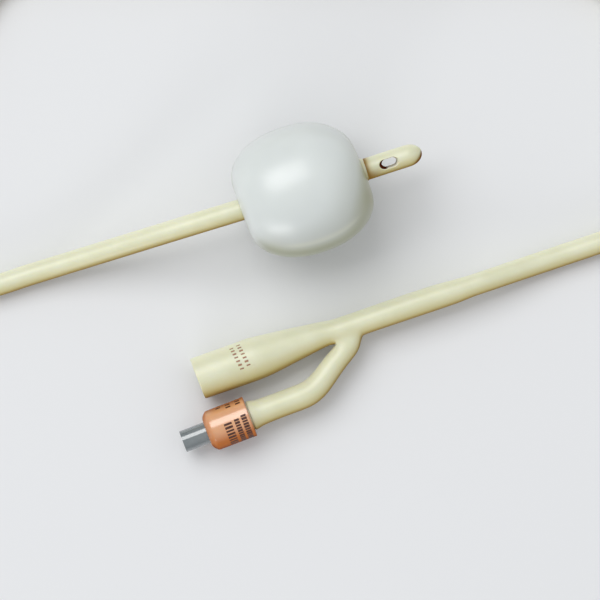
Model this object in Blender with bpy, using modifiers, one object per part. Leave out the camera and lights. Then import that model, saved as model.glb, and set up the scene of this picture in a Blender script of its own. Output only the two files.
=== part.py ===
"""Foley urinary catheter, size 16 French, lying on the plane Z = 0. Metres, +Z up.

A latex shaft joins two ends. One is the drainage tip with its two opposed eyes and the filled
balloon around it. The other is the moulded Y connector: a funnel for the drainage tube, and an
inflation arm whose end holds a spring-loaded non-return valve under a colour-coded sleeve."""

import math

import bmesh
import bpy
from mathutils import Matrix, Vector

# Gap between pieces that touch
GAP = 0.0003

# Shaft: a plain tube of the catheter's nominal size
SHAFT_RADIUS = 0.00267
SHAFT_SEAT = 0.002
SHAFT_POINT_SPACING = 0.0085

# Where the shaft enters the balloon and the Y connector, in plan, and which way each end points
BALLOON_JOINT = (-0.02130, 0.01874)
BALLOON_HEADING = math.radians(18.0)
CONNECTOR_JOINT = (0.03492, -0.00001)
CONNECTOR_HEADING = math.radians(198.57)

# Balloon: a flattened ball with a shallow dimple where the tube goes in and comes out
BALLOON_RADIUS = 0.01617
BALLOON_HALF_LENGTH = 0.0165
BALLOON_SQUARENESS = 2.7
DIMPLE_DEPTH = 0.0008
DIMPLE_RADIUS = 0.0065

# Drainage tip: a tube through the balloon, closed by a rounded nose and opened by two eyes
TIP_RADIUS = 0.00274
TIP_LUMEN_RADIUS = 0.0015
TIP_REACH = 0.01424
NOSE_LENGTH = 0.0036
NOSE_WALL = 0.0022
EYE_LENGTH = 0.0047
EYE_WIDTH = 0.0026
EYE_FROM_NOSE = 0.0081
EYE_ROLL = math.radians(-6.5)

# Y connector, measured from the end where the shaft enters
NECK_END_RADIUS = 0.00275
NECK_RADIUS = 0.0032
NECK_TAPER_LENGTH = 0.0085
NECK_LENGTH = 0.0365
CONE_LENGTH = 0.0175
CUP_LENGTH = 0.016
CUP_RADIUS = 0.0055
CUP_WALL = 0.0012
CUP_BORE_DRAFT = 0.0002
CUP_BORE_DEPTH = 0.0145
LUMEN_RADIUS = 0.00135

# Inflation arm of the Y connector: a curve away from the neck, then a run beside the funnel
ARM_RADIUS = 0.00315
ARM_ROOT_RADIUS = 0.0026
ARM_ROOT_BEFORE_CONE = 0.0067
ARM_ROOT_ANGLE = math.radians(58)
ARM_ROOT_PULL = 0.0055
ARM_OFFSET = 0.01254
ARM_BEND_END_PAST_CONE = 0.0125
ARM_BEND_PULL = 0.0078
ARM_STRAIGHT = 0.0114
ARM_SPLAY = math.radians(2.4)
ARM_FLARE_RADIUS = 0.00375
ARM_FLARE_LENGTH = 0.0035
CROTCH_BEFORE_CONE = 0.0053
CROTCH_HALF_LENGTH = 0.0033
CHANNEL_RADIUS = 0.0004
CHANNEL_OFFSET = 0.00205
CHANNEL_POINT_SPACING = 0.0022

# Spigot at the arm's end and the sleeve over it
SPIGOT_RADIUS = 0.0035
SPIGOT_LENGTH = 0.0089
SLEEVE_RADIUS = 0.0051
SLEEVE_LENGTH = 0.0116
SLEEVE_LIP = 0.0013
SLEEVE_FRONT_ROUND = 0.0020
SLEEVE_BACK_ROUND = 0.0003

# Valve body: a ribbed tail in the arm, a flange held under the sleeve's lip, and a luer socket
VALVE_MOUTH_RADIUS = 0.00275
VALVE_REACH = 0.0060
VALVE_TAIL_RADIUS = 0.0024
VALVE_TAIL_LENGTH = 0.0104
VALVE_RIB_HEIGHT = 0.0002
VALVE_RIB_PITCH = 0.0019
VALVE_RIB_COUNT = 3
VALVE_FLANGE_RADIUS = 0.0035
LUER_MOUTH_RADIUS = 0.00215
LUER_TAPER = 0.03
SEAT_AT = 0.0097
SEAT_THICKNESS = 0.0012
SEAT_HOLE_RADIUS = 0.00125
CHAMBER_RADIUS = 0.00185
CRIMP_RADIUS = 0.00135

# Valve stem with its rubber ring, and the spring behind it
STEM_PIN_RADIUS = 0.00067
STEM_PIN_REACH = 0.0030
STEM_HEAD_RADIUS = 0.0009
STEM_HEAD_LENGTH = 0.0012
PISTON_RADIUS = 0.00155
PISTON_THICKNESS = 0.00084
STEM_TAIL_RADIUS = 0.0006
RING_WIRE_RADIUS = 0.00033
SPRING_RADIUS = 0.00122
SPRING_WIRE_RADIUS = 0.00017
SPRING_TURNS = 6

# Retainer disc that the spring stands on
RETAINER_THICKNESS = 0.0010
RETAINER_HOLE_RADIUS = 0.00095
RETAINER_SLOT_WIDTH = 0.0006
RETAINER_SLOT_COUNT = 3

# Route of the shaft on the table, from the balloon round to the connector, as x, y and the share
# of the end's height by which the tube stands above the table
ROUTE_FROM_BALLOON = [
    (-0.0271, 0.0170, 0.98),
    (-0.0380, 0.0137, 0.80),
    (-0.0500, 0.01005, 0.47),
    (-0.0620, 0.0064, 0.18),
    (-0.0720, 0.00335, 0.04),
]
ROUTE_ON_TABLE = [
    (-0.0840, -0.0003),
    (-0.0920, -0.0008),
    (-0.0993, 0.0018),
    (-0.1055, 0.0077),
    (-0.1087, 0.0159),
    (-0.1077, 0.0260),
    (-0.1020, 0.0375),
    (-0.0934, 0.0540),
    (-0.0865, 0.0665),
    (-0.0812, 0.0742),
    (-0.0750, 0.0777),
    (-0.0660, 0.0789),
    (-0.0400, 0.0790),
    (0.0000, 0.0790),
    (0.0350, 0.0790),
    (0.0545, 0.0789),
    (0.0628, 0.0776),
    (0.0690, 0.0740),
    (0.0732, 0.0690),
    (0.0757, 0.0620),
    (0.0798, 0.0485),
    (0.0838, 0.0360),
    (0.0849, 0.0270),
    (0.0828, 0.0200),
    (0.0785, 0.0149),
    (0.0722, 0.0126),
    (0.0665, 0.0106),
    (0.0605, 0.00859),
]
ROUTE_TO_CONNECTOR = [
    (0.0531, 0.00610, 0.12),
    (0.0457, 0.00362, 0.55),
    (0.0400, 0.00170, 0.92),
]

# Resolution of the round forms
FINE_STEPS = 40
MEDIUM_STEPS = 32
SMALL_STEPS = 24
TUBE_SIDES_RESOLUTION = 4
CHANNEL_SIDES_RESOLUTION = 2
SPRING_POINTS_PER_TURN = 12
CAGE_SIDES = 8
CAGE_LEVELS = 2
MERGE = 0.000001

# Colours
LATEX = (0.74, 0.72, 0.43)
BALLOON_LATEX = (0.62, 0.68, 0.66)
SLEEVE_ORANGE = (0.78, 0.36, 0.16)
VALVE_GREY = (0.30, 0.36, 0.41)
STEM_WHITE = (0.80, 0.80, 0.78)
RING_BLACK = (0.05, 0.05, 0.05)
STEEL = (0.60, 0.60, 0.60)

# Places that follow from the sizes above
BALLOON_LENGTH = 2 * BALLOON_HALF_LENGTH
BALLOON_BORE = max(TIP_RADIUS, SHAFT_RADIUS) + GAP
BALLOON_AXIS_HEIGHT = BALLOON_RADIUS
CONNECTOR_AXIS_HEIGHT = CUP_RADIUS
TIP_START = SHAFT_SEAT + GAP
TIP_END = BALLOON_LENGTH + TIP_REACH
ARM_ROOT_AT = NECK_LENGTH - ARM_ROOT_BEFORE_CONE
ARM_BEND_END_AT = NECK_LENGTH + ARM_BEND_END_PAST_CONE
CROTCH_AT = NECK_LENGTH - CROTCH_BEFORE_CONE
CONE_END_AT = NECK_LENGTH + CONE_LENGTH
MOUTH_AT = CONE_END_AT + CUP_LENGTH
SLEEVE_START = GAP
SLEEVE_END = SLEEVE_START + SLEEVE_LENGTH
SLEEVE_BORE = SPIGOT_RADIUS + GAP
LIP_START = SLEEVE_END - SLEEVE_LIP
FLANGE_START = SPIGOT_LENGTH + GAP
FLANGE_END = LIP_START - GAP
LIP_HOLE = VALVE_MOUTH_RADIUS + GAP
VALVE_MOUTH_AT = SLEEVE_END + VALVE_REACH
VALVE_TAIL_AT = SPIGOT_LENGTH - VALVE_TAIL_LENGTH
ARM_BORE = VALVE_TAIL_RADIUS + VALVE_RIB_HEIGHT + GAP
ARM_BORE_BOTTOM = VALVE_TAIL_AT - GAP
SEAT_TOP = SEAT_AT + SEAT_THICKNESS
LUER_BOTTOM_RADIUS = LUER_MOUTH_RADIUS - LUER_TAPER * (VALVE_MOUTH_AT - SEAT_TOP)
CRIMP_TOP = VALVE_TAIL_AT + GAP
RETAINER_START = CRIMP_TOP + GAP
RETAINER_END = RETAINER_START + RETAINER_THICKNESS
RETAINER_RADIUS = CHAMBER_RADIUS - GAP
RING_RADIUS = STEM_PIN_RADIUS + GAP + RING_WIRE_RADIUS
RING_AT = SEAT_AT - GAP - RING_WIRE_RADIUS
PISTON_TOP = RING_AT - RING_WIRE_RADIUS - GAP
PISTON_BOTTOM = PISTON_TOP - PISTON_THICKNESS
STEM_TOP = SEAT_TOP + STEM_PIN_REACH
STEM_BOTTOM = RETAINER_END - GAP


def clear_scene():
    for thing in list(bpy.data.objects):
        bpy.data.objects.remove(thing, do_unlink=True)


def new_collection(name):
    collection = bpy.data.collections.new(name)
    bpy.context.scene.collection.children.link(collection)
    return collection


def make_material(name, colour, roughness, metallic=0.0):
    material = bpy.data.materials.new(name)
    material.use_nodes = True
    shader = material.node_tree.nodes["Principled BSDF"]
    shader.inputs["Base Color"].default_value = (*colour, 1)
    shader.inputs["Roughness"].default_value = roughness
    shader.inputs["Metallic"].default_value = metallic
    return material


def axis_empty(name, at, height, heading):
    """An empty whose +Z runs along a level axis, with +Y up."""
    empty = bpy.data.objects.new(name, None)
    along = Vector((math.cos(heading), math.sin(heading), 0))
    up = Vector((0, 0, 1))
    turned_to = Matrix((up.cross(along), up, along)).transposed().to_4x4()
    empty.matrix_world = Matrix.Translation((*at, height)) @ turned_to
    PARTS.objects.link(empty)
    return empty


def place(thing, parent, material):
    """Links a sub-part under its empty."""
    thing.parent = parent
    thing.data.materials.append(material)
    PARTS.objects.link(thing)
    return thing


def make_cutter(thing, parent):
    thing.parent = parent
    thing.hide_render = True
    thing.display_type = "WIRE"
    CUTTERS.objects.link(thing)
    return thing


def turned(name, profile, steps, closed):
    """A profile of (radius, height) turned round +Z. It runs down its outer side, then up its inner one."""
    mesh = bpy.data.meshes.new(name)
    points = [(radius, 0, height) for radius, height in profile]
    edges = [(i, i + 1) for i in range(len(points) - 1)]
    if closed:
        edges.append((len(points) - 1, 0))
    mesh.from_pydata(points, edges, [])
    thing = bpy.data.objects.new(name, mesh)
    screw = thing.modifiers.new("turn", "SCREW")
    screw.axis = "Z"
    screw.angle = math.tau
    screw.steps = steps
    screw.render_steps = steps
    screw.use_merge_vertices = True
    screw.merge_threshold = MERGE
    screw.use_smooth_shade = True
    return thing


def boolean(thing, other, operation):
    modifier = thing.modifiers.new(operation.lower() + "_" + other.name, "BOOLEAN")
    modifier.operation = operation
    modifier.object = other


def arc(centre, radius, start, end, count):
    """Points of (radius, height) on a quarter round of a turned profile, angles in degrees."""
    points = []
    for i in range(count):
        angle = math.radians(start + (end - start) * i / (count - 1))
        points.append((centre[0] + radius * math.cos(angle), centre[1] + radius * math.sin(angle)))
    return points


def smooth_route(points, spacing):
    """Evenly spaced points on a centripetal Catmull-Rom curve through the route's own points."""
    points = [Vector(p) for p in points]
    ends = [2 * points[0] - points[1], *points, 2 * points[-1] - points[-2]]
    fine = []
    for a, b, c, d in zip(ends, ends[1:], ends[2:], ends[3:]):
        t1 = (b - a).length ** 0.5
        t2 = t1 + (c - b).length ** 0.5
        t3 = t2 + (d - c).length ** 0.5
        for i in range(24):
            t = t1 + (t2 - t1) * i / 24
            ab = a.lerp(b, t / t1)
            bc = b.lerp(c, (t - t1) / (t2 - t1))
            cd = c.lerp(d, (t - t2) / (t3 - t2))
            abc = ab.lerp(bc, t / t2)
            bcd = bc.lerp(cd, (t - t1) / (t3 - t1))
            fine.append(abc.lerp(bcd, (t - t1) / (t2 - t1)))
    fine.append(points[-1])
    lengths = [0]
    for a, b in zip(fine, fine[1:]):
        lengths.append(lengths[-1] + (b - a).length)
    count = round(lengths[-1] / spacing)
    spaced = []
    j = 0
    for i in range(count):
        want = lengths[-1] * i / count
        while lengths[j + 1] < want:
            j += 1
        share = (want - lengths[j]) / (lengths[j + 1] - lengths[j])
        spaced.append(fine[j].lerp(fine[j + 1], share))
    spaced.append(points[-1])
    return spaced


def tube(name, points, radius, resolution):
    """A poly curve with a round bevel and filled caps."""
    curve = bpy.data.curves.new(name, "CURVE")
    curve.dimensions = "3D"
    curve.bevel_depth = radius
    curve.bevel_resolution = resolution
    curve.use_fill_caps = True
    spline = curve.splines.new("POLY")
    spline.points.add(len(points) - 1)
    for point, at in zip(spline.points, points):
        point.co = (*at, 1)
    return bpy.data.objects.new(name, curve)


def as_mesh(thing):
    """The curve object made a mesh whose caps are welded on, for use in a Boolean."""
    bpy.context.scene.collection.objects.link(thing)
    graph = bpy.context.evaluated_depsgraph_get()
    mesh = bpy.data.meshes.new_from_object(thing.evaluated_get(graph))
    shape = bmesh.new()
    shape.from_mesh(mesh)
    bmesh.ops.remove_doubles(shape, verts=shape.verts, dist=MERGE)
    bmesh.ops.recalc_face_normals(shape, faces=shape.faces)
    shape.to_mesh(mesh)
    shape.free()
    name = thing.name
    bpy.data.objects.remove(thing, do_unlink=True)
    return bpy.data.objects.new(name, mesh)


def bezier(a, b, c, d, t):
    return a.lerp(b, t).lerp(b.lerp(c, t), t).lerp(b.lerp(c, t).lerp(c.lerp(d, t), t), t)


def dimple(radius):
    """How far the balloon's end is drawn in at this radius."""
    if radius >= DIMPLE_RADIUS:
        return 0
    share = (radius - BALLOON_BORE) / (DIMPLE_RADIUS - BALLOON_BORE)
    return DIMPLE_DEPTH * (1 + math.cos(math.pi * share)) / 2


def make_balloon(parent):
    """A superellipse turned round the tube, with a bore that the tube fills."""
    power = 2 / BALLOON_SQUARENESS
    bore_angle = math.acos((BALLOON_BORE / BALLOON_RADIUS) ** (1 / power))
    outline = []
    count = 26
    for i in range(count + 1):
        angle = bore_angle * (1 - 2 * i / count)
        radius = BALLOON_RADIUS * math.cos(angle) ** power
        reach = BALLOON_HALF_LENGTH * abs(math.sin(angle)) ** power - dimple(radius)
        outline.append((radius, BALLOON_HALF_LENGTH + math.copysign(reach, angle)))
    return place(turned("balloon", outline, FINE_STEPS, True), parent, BALLOON_MATERIAL)


def make_eye_cutter(parent):
    """A long round-ended hole through both walls: a cylinder whose halves are pulled apart."""
    shape = bmesh.new()
    steps = SMALL_STEPS
    bmesh.ops.create_cone(
        shape,
        cap_ends=True,
        segments=steps,
        radius1=EYE_WIDTH / 2,
        radius2=EYE_WIDTH / 2,
        depth=4 * TIP_RADIUS,
        matrix=Matrix.Rotation(math.pi / steps, 4, "Z"),
    )
    for vertex in shape.verts:
        vertex.co.y += math.copysign((EYE_LENGTH - EYE_WIDTH) / 2, vertex.co.y)
    bmesh.ops.rotate(shape, verts=shape.verts, matrix=Matrix.Rotation(math.pi / 2, 3, "X"))
    mesh = bpy.data.meshes.new("eye_cutter")
    shape.to_mesh(mesh)
    shape.free()
    cutter = make_cutter(bpy.data.objects.new("eye_cutter", mesh), parent)
    cutter.location = (0, 0, TIP_END - EYE_FROM_NOSE)
    cutter.rotation_euler = (0, 0, EYE_ROLL)
    return cutter


def make_drainage_tip(parent):
    """The tube inside the balloon and beyond it, with its rounded nose and its lumen."""
    nose_start = TIP_END - NOSE_LENGTH
    outline = []
    for i in range(8):
        angle = math.pi / 2 * (1 - i / 7)
        outline.append((TIP_RADIUS * math.cos(angle), nose_start + NOSE_LENGTH * math.sin(angle)))
    outline[0] = (0, TIP_END)
    outline.append((TIP_RADIUS, TIP_START))
    outline.append((TIP_LUMEN_RADIUS, TIP_START))
    lumen_top = TIP_END - NOSE_WALL - TIP_LUMEN_RADIUS
    outline += arc((0, lumen_top), TIP_LUMEN_RADIUS, 0, 90, 5)[:-1]
    outline.append((0, lumen_top + TIP_LUMEN_RADIUS))
    tip = place(turned("drainage_tip", outline, MEDIUM_STEPS, False), parent, LATEX_MATERIAL)
    boolean(tip, make_eye_cutter(parent), "DIFFERENCE")
    return tip


def neck_and_funnel_rings():
    """Height and radius of each ring of the connector's main tube, from the neck's end to the mouth."""
    rings = [
        (0, NECK_END_RADIUS),
        (0.2 * NECK_TAPER_LENGTH, NECK_END_RADIUS),
        (NECK_TAPER_LENGTH, NECK_RADIUS),
        ((NECK_TAPER_LENGTH + CROTCH_AT - CROTCH_HALF_LENGTH) / 2, NECK_RADIUS),
        (CROTCH_AT - CROTCH_HALF_LENGTH, NECK_RADIUS),
        (CROTCH_AT, NECK_RADIUS),
        (CROTCH_AT + CROTCH_HALF_LENGTH, NECK_RADIUS),
    ]
    for share in (0.2, 0.5, 0.8, 1.0):
        radius = NECK_RADIUS + (CUP_RADIUS - NECK_RADIUS) * share
        rings.append((NECK_LENGTH + CONE_LENGTH * share, radius))
    rings.append((CONE_END_AT + 0.12 * CUP_LENGTH, CUP_RADIUS))
    rings.append((CONE_END_AT + 0.55 * CUP_LENGTH, CUP_RADIUS))
    rings.append((MOUTH_AT, CUP_RADIUS))
    return rings


def arm_rings():
    """Centre, heading and radius of each ring of the arm and its spigot, in the plane of the Y."""
    root = Vector((0, 0, ARM_ROOT_AT))
    leaving = Vector((math.sin(ARM_ROOT_ANGLE), 0, math.cos(ARM_ROOT_ANGLE)))
    end = Vector((ARM_OFFSET, 0, ARM_BEND_END_AT))
    handles = (root, root + ARM_ROOT_PULL * leaving, end - Vector((0, 0, ARM_BEND_PULL)), end)
    rings = []
    for t in (0.38, 0.50, 0.64, 0.80, 1.0):
        ahead = bezier(*handles, min(1, t + 0.01)) - bezier(*handles, t - 0.01)
        radius = ARM_ROOT_RADIUS + (ARM_RADIUS - ARM_ROOT_RADIUS) * t
        rings.append((bezier(*handles, t), ahead.normalized(), radius))
    splayed = Vector((math.sin(ARM_SPLAY), 0, math.cos(ARM_SPLAY)))
    flare_start = ARM_STRAIGHT - ARM_FLARE_LENGTH
    rings.append((end + 0.5 * flare_start * splayed, splayed, ARM_RADIUS))
    rings.append((end + flare_start * splayed, splayed, ARM_RADIUS * 1.04))
    flare_face = end + ARM_STRAIGHT * splayed
    rings.append((flare_face, splayed, ARM_FLARE_RADIUS))
    rings.append((flare_face, splayed, SPIGOT_RADIUS))
    rings.append((flare_face + SPIGOT_LENGTH * splayed, splayed, SPIGOT_RADIUS))
    return rings


def add_ring(shape, centre, side, up, radius):
    """Vertices round a centre. A cage shrinks when it is smoothed, so it starts larger."""
    growth = 6 / (4 + 2 * math.cos(math.tau / CAGE_SIDES))
    ring = []
    for i in range(CAGE_SIDES):
        angle = math.tau * i / CAGE_SIDES
        ring.append(
            shape.verts.new(centre + growth * radius * (math.cos(angle) * side + math.sin(angle) * up))
        )
    return ring


def bridge(shape, first, second, skipped=()):
    for i in range(CAGE_SIDES):
        if i in skipped:
            continue
        j = (i + 1) % CAGE_SIDES
        shape.faces.new((first[i], first[j], second[j], second[i]))


def make_connector_cage():
    """A coarse Y of eight-sided rings. The arm's first ring is stitched to a hole left in the neck."""
    shape = bmesh.new()
    side = Vector((1, 0, 0))
    up = Vector((0, 1, 0))
    main = [
        add_ring(shape, Vector((0, 0, height)), side, up, radius)
        for height, radius in neck_and_funnel_rings()
    ]
    hole_row = 4
    for row, (first, second) in enumerate(zip(main, main[1:])):
        at_hole = row in (hole_row, hole_row + 1)
        bridge(shape, first, second, (0, CAGE_SIDES - 1) if at_hole else ())
    low, middle, high = main[hole_row : hole_row + 3]
    shape.verts.remove(middle[0])
    rim = [low[0], low[1], middle[1], high[1], high[0], high[-1], middle[-1], low[-1]]
    arm = []
    for centre, along, radius in arm_rings():
        arm.append(add_ring(shape, centre, up.cross(along), up, radius))
    for first, second in zip([rim, *arm], arm):
        bridge(shape, first, second)
    for ring in (main[0], main[-1], arm[-1]):
        shape.faces.new(ring)
    crease = shape.edges.layers.float.new("crease_edge")
    for ring in (main[0], main[-1], *arm[-3:]):
        for i in range(CAGE_SIDES):
            shape.edges.get((ring[i - 1], ring[i]))[crease] = 1
    bmesh.ops.recalc_face_normals(shape, faces=shape.faces)
    for face in shape.faces:
        face.smooth = True
    mesh = bpy.data.meshes.new("y_connector")
    shape.to_mesh(mesh)
    shape.free()
    return mesh


def make_drainage_bore(parent):
    """The funnel's cup, its inner cone and the drainage lumen, as one turned cutter."""
    cup_bore = CUP_RADIUS - CUP_WALL
    cup_bottom = MOUTH_AT - CUP_BORE_DEPTH
    lumen_top = cup_bottom - (cup_bore - LUMEN_RADIUS) * 2.6
    outline = [
        (0, MOUTH_AT + GAP),
        (cup_bore, MOUTH_AT + GAP),
        (cup_bore - CUP_BORE_DRAFT, cup_bottom),
        (LUMEN_RADIUS, lumen_top),
        (LUMEN_RADIUS, -GAP),
        (0, -GAP),
    ]
    return make_cutter(turned("drainage_bore", outline, MEDIUM_STEPS, False), parent)


def make_arm_bore(parent):
    """The pocket for the valve's tail, narrowing to the inflation channel."""
    outline = [
        (0, SPIGOT_LENGTH + GAP),
        (ARM_BORE, SPIGOT_LENGTH + GAP),
        (ARM_BORE, ARM_BORE_BOTTOM),
        (ARM_BORE * 0.6, ARM_BORE_BOTTOM),
        (CHANNEL_RADIUS * 2, ARM_BORE_BOTTOM - ARM_BORE),
        (0, ARM_BORE_BOTTOM - ARM_BORE),
    ]
    return make_cutter(turned("arm_bore", outline, MEDIUM_STEPS, False), parent)


def make_inflation_channel(parent, arm_end):
    """The narrow channel from the valve pocket down the arm and along the neck to the shaft."""
    route = [arm_end + Vector((0, 0, ARM_BORE_BOTTOM - ARM_BORE / 2))]
    route += [centre for centre, along, radius in reversed(arm_rings()[:5])]
    route.append(Vector((CHANNEL_OFFSET, 0, CROTCH_AT - CROTCH_HALF_LENGTH)))
    route.append(Vector((CHANNEL_OFFSET, 0, NECK_TAPER_LENGTH)))
    route.append(Vector((CHANNEL_OFFSET, 0, -GAP)))
    path = smooth_route(route, CHANNEL_POINT_SPACING)
    return make_cutter(
        as_mesh(tube("inflation_channel", path, CHANNEL_RADIUS, CHANNEL_SIDES_RESOLUTION)), parent
    )


def make_connector(parent, arm_parent):
    connector = bpy.data.objects.new("y_connector", make_connector_cage())
    place(connector, parent, LATEX_MATERIAL)
    smooth = connector.modifiers.new("smooth", "SUBSURF")
    smooth.levels = CAGE_LEVELS
    smooth.render_levels = CAGE_LEVELS
    boolean(connector, make_drainage_bore(parent), "DIFFERENCE")
    boolean(connector, make_arm_bore(arm_parent), "DIFFERENCE")
    boolean(connector, make_inflation_channel(parent, arm_parent.location), "DIFFERENCE")
    return connector


def make_sleeve(parent):
    """The colour-coded sleeve: a short cap over the spigot, with a lip round the valve."""
    outline = [(LIP_HOLE, SLEEVE_END)]
    front = (SLEEVE_RADIUS - SLEEVE_FRONT_ROUND, SLEEVE_END - SLEEVE_FRONT_ROUND)
    outline += arc(front, SLEEVE_FRONT_ROUND, 90, 0, 6)
    back = (SLEEVE_RADIUS - SLEEVE_BACK_ROUND, SLEEVE_START + SLEEVE_BACK_ROUND)
    outline += arc(back, SLEEVE_BACK_ROUND, 0, -90, 3)
    outline += [
        (SLEEVE_BORE, SLEEVE_START),
        (SLEEVE_BORE, LIP_START),
        (LIP_HOLE, LIP_START),
    ]
    return place(turned("valve_sleeve", outline, FINE_STEPS, True), parent, SLEEVE_MATERIAL)


def make_valve_body(parent):
    """Luer socket, flange and ribbed tail outside; socket, seat, chamber and crimp inside."""
    outline = [
        (VALVE_MOUTH_RADIUS, VALVE_MOUTH_AT),
        (VALVE_MOUTH_RADIUS, FLANGE_END),
        (VALVE_FLANGE_RADIUS, FLANGE_END),
        (VALVE_FLANGE_RADIUS, FLANGE_START),
        (VALVE_TAIL_RADIUS, FLANGE_START),
    ]
    rib_radius = VALVE_TAIL_RADIUS + VALVE_RIB_HEIGHT
    for i in range(VALVE_RIB_COUNT):
        top = FLANGE_START - VALVE_RIB_PITCH * (i + 1)
        outline.append((VALVE_TAIL_RADIUS, top + GAP))
        outline.append((rib_radius, top))
        outline.append((VALVE_TAIL_RADIUS, top - 2 * GAP))
    outline += [
        (VALVE_TAIL_RADIUS, VALVE_TAIL_AT),
        (CRIMP_RADIUS, VALVE_TAIL_AT),
        (CRIMP_RADIUS, CRIMP_TOP),
        (CHAMBER_RADIUS, CRIMP_TOP),
        (CHAMBER_RADIUS, SEAT_AT),
        (SEAT_HOLE_RADIUS, SEAT_AT),
        (SEAT_HOLE_RADIUS, SEAT_TOP),
        (LUER_BOTTOM_RADIUS, SEAT_TOP),
        (LUER_MOUTH_RADIUS, VALVE_MOUTH_AT),
    ]
    return place(turned("valve_body", outline, MEDIUM_STEPS, True), parent, VALVE_MATERIAL)


def make_valve_stem(parent):
    """The plunger: head, pin, piston and guide tail. Its origin is on the valve's axis."""
    outline = [
        (0, STEM_TOP),
        (STEM_HEAD_RADIUS, STEM_TOP),
        (STEM_HEAD_RADIUS, STEM_TOP - STEM_HEAD_LENGTH),
        (STEM_PIN_RADIUS, STEM_TOP - STEM_HEAD_LENGTH - GAP),
        (STEM_PIN_RADIUS, PISTON_TOP),
        (PISTON_RADIUS, PISTON_TOP),
        (PISTON_RADIUS, PISTON_BOTTOM),
        (STEM_TAIL_RADIUS, PISTON_BOTTOM),
        (STEM_TAIL_RADIUS, STEM_BOTTOM),
        (0, STEM_BOTTOM),
    ]
    return place(turned("valve_stem", outline, SMALL_STEPS, False), parent, STEM_MATERIAL)


def make_seal_ring(parent):
    bpy.ops.mesh.primitive_torus_add(
        major_segments=SMALL_STEPS,
        minor_segments=10,
        major_radius=RING_RADIUS,
        minor_radius=RING_WIRE_RADIUS,
    )
    ring = bpy.context.object
    ring.name = "valve_seal_ring"
    ring.data.name = ring.name
    for collection in list(ring.users_collection):
        collection.objects.unlink(ring)
    ring.data.shade_smooth()
    place(ring, parent, RING_MATERIAL)
    ring.location = (0, 0, RING_AT)
    return ring


def make_spring(parent):
    """An open coil between the piston and the retainer."""
    bottom = RETAINER_END + GAP + SPRING_WIRE_RADIUS
    top = PISTON_BOTTOM - GAP - SPRING_WIRE_RADIUS
    count = SPRING_TURNS * SPRING_POINTS_PER_TURN
    points = []
    for i in range(count + 1):
        angle = math.tau * i / SPRING_POINTS_PER_TURN
        height = bottom + (top - bottom) * i / count
        points.append((SPRING_RADIUS * math.cos(angle), SPRING_RADIUS * math.sin(angle), height))
    spring = tube("valve_spring", points, SPRING_WIRE_RADIUS, 1)
    return place(spring, parent, STEEL_MATERIAL)


def make_retainer(parent):
    """The disc inside the crimp: a guide hole for the stem's tail, and notches that let the water by."""
    outline = [
        (RETAINER_HOLE_RADIUS, RETAINER_END),
        (RETAINER_RADIUS, RETAINER_END),
        (RETAINER_RADIUS, RETAINER_START),
        (RETAINER_HOLE_RADIUS, RETAINER_START),
    ]
    retainer = turned("valve_retainer", outline, SMALL_STEPS, True)
    place(retainer, parent, STEM_MATERIAL)
    for i in range(RETAINER_SLOT_COUNT):
        shape = bmesh.new()
        bmesh.ops.create_cube(shape, size=1)
        size = (RETAINER_RADIUS, RETAINER_SLOT_WIDTH, 3 * RETAINER_THICKNESS)
        bmesh.ops.scale(shape, vec=size, verts=shape.verts)
        mesh = bpy.data.meshes.new(f"retainer_slot_{i + 1}")
        shape.to_mesh(mesh)
        shape.free()
        slot = make_cutter(bpy.data.objects.new(mesh.name, mesh), parent)
        angle = math.tau * (i + 0.25) / RETAINER_SLOT_COUNT
        reach = RETAINER_RADIUS + GAP
        slot.location = (
            reach * math.cos(angle),
            reach * math.sin(angle),
            (RETAINER_START + RETAINER_END) / 2,
        )
        slot.rotation_euler = (0, 0, angle)
        boolean(retainer, slot, "DIFFERENCE")
    return retainer


def make_shaft():
    """The shaft's plain tube on its route over the table."""
    into_balloon = Vector((math.cos(BALLOON_HEADING), math.sin(BALLOON_HEADING)))
    into_connector = Vector((math.cos(CONNECTOR_HEADING), math.sin(CONNECTOR_HEADING)))
    start = Vector(BALLOON_JOINT) + SHAFT_SEAT * into_balloon
    end = Vector(CONNECTOR_JOINT) - GAP * into_connector
    route = [(*start, BALLOON_AXIS_HEIGHT)]
    for x, y, share in ROUTE_FROM_BALLOON:
        route.append((x, y, SHAFT_RADIUS + share * (BALLOON_AXIS_HEIGHT - SHAFT_RADIUS)))
    for x, y in ROUTE_ON_TABLE:
        route.append((x, y, SHAFT_RADIUS))
    for x, y, share in ROUTE_TO_CONNECTOR:
        route.append((x, y, SHAFT_RADIUS + share * (CONNECTOR_AXIS_HEIGHT - SHAFT_RADIUS)))
    route.append((*end, CONNECTOR_AXIS_HEIGHT))
    path = smooth_route(route, SHAFT_POINT_SPACING)
    for point in path:
        point.z = max(point.z, SHAFT_RADIUS)
    shaft = tube("shaft", path, SHAFT_RADIUS, TUBE_SIDES_RESOLUTION)
    return place(shaft, None, LATEX_MATERIAL)


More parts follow.
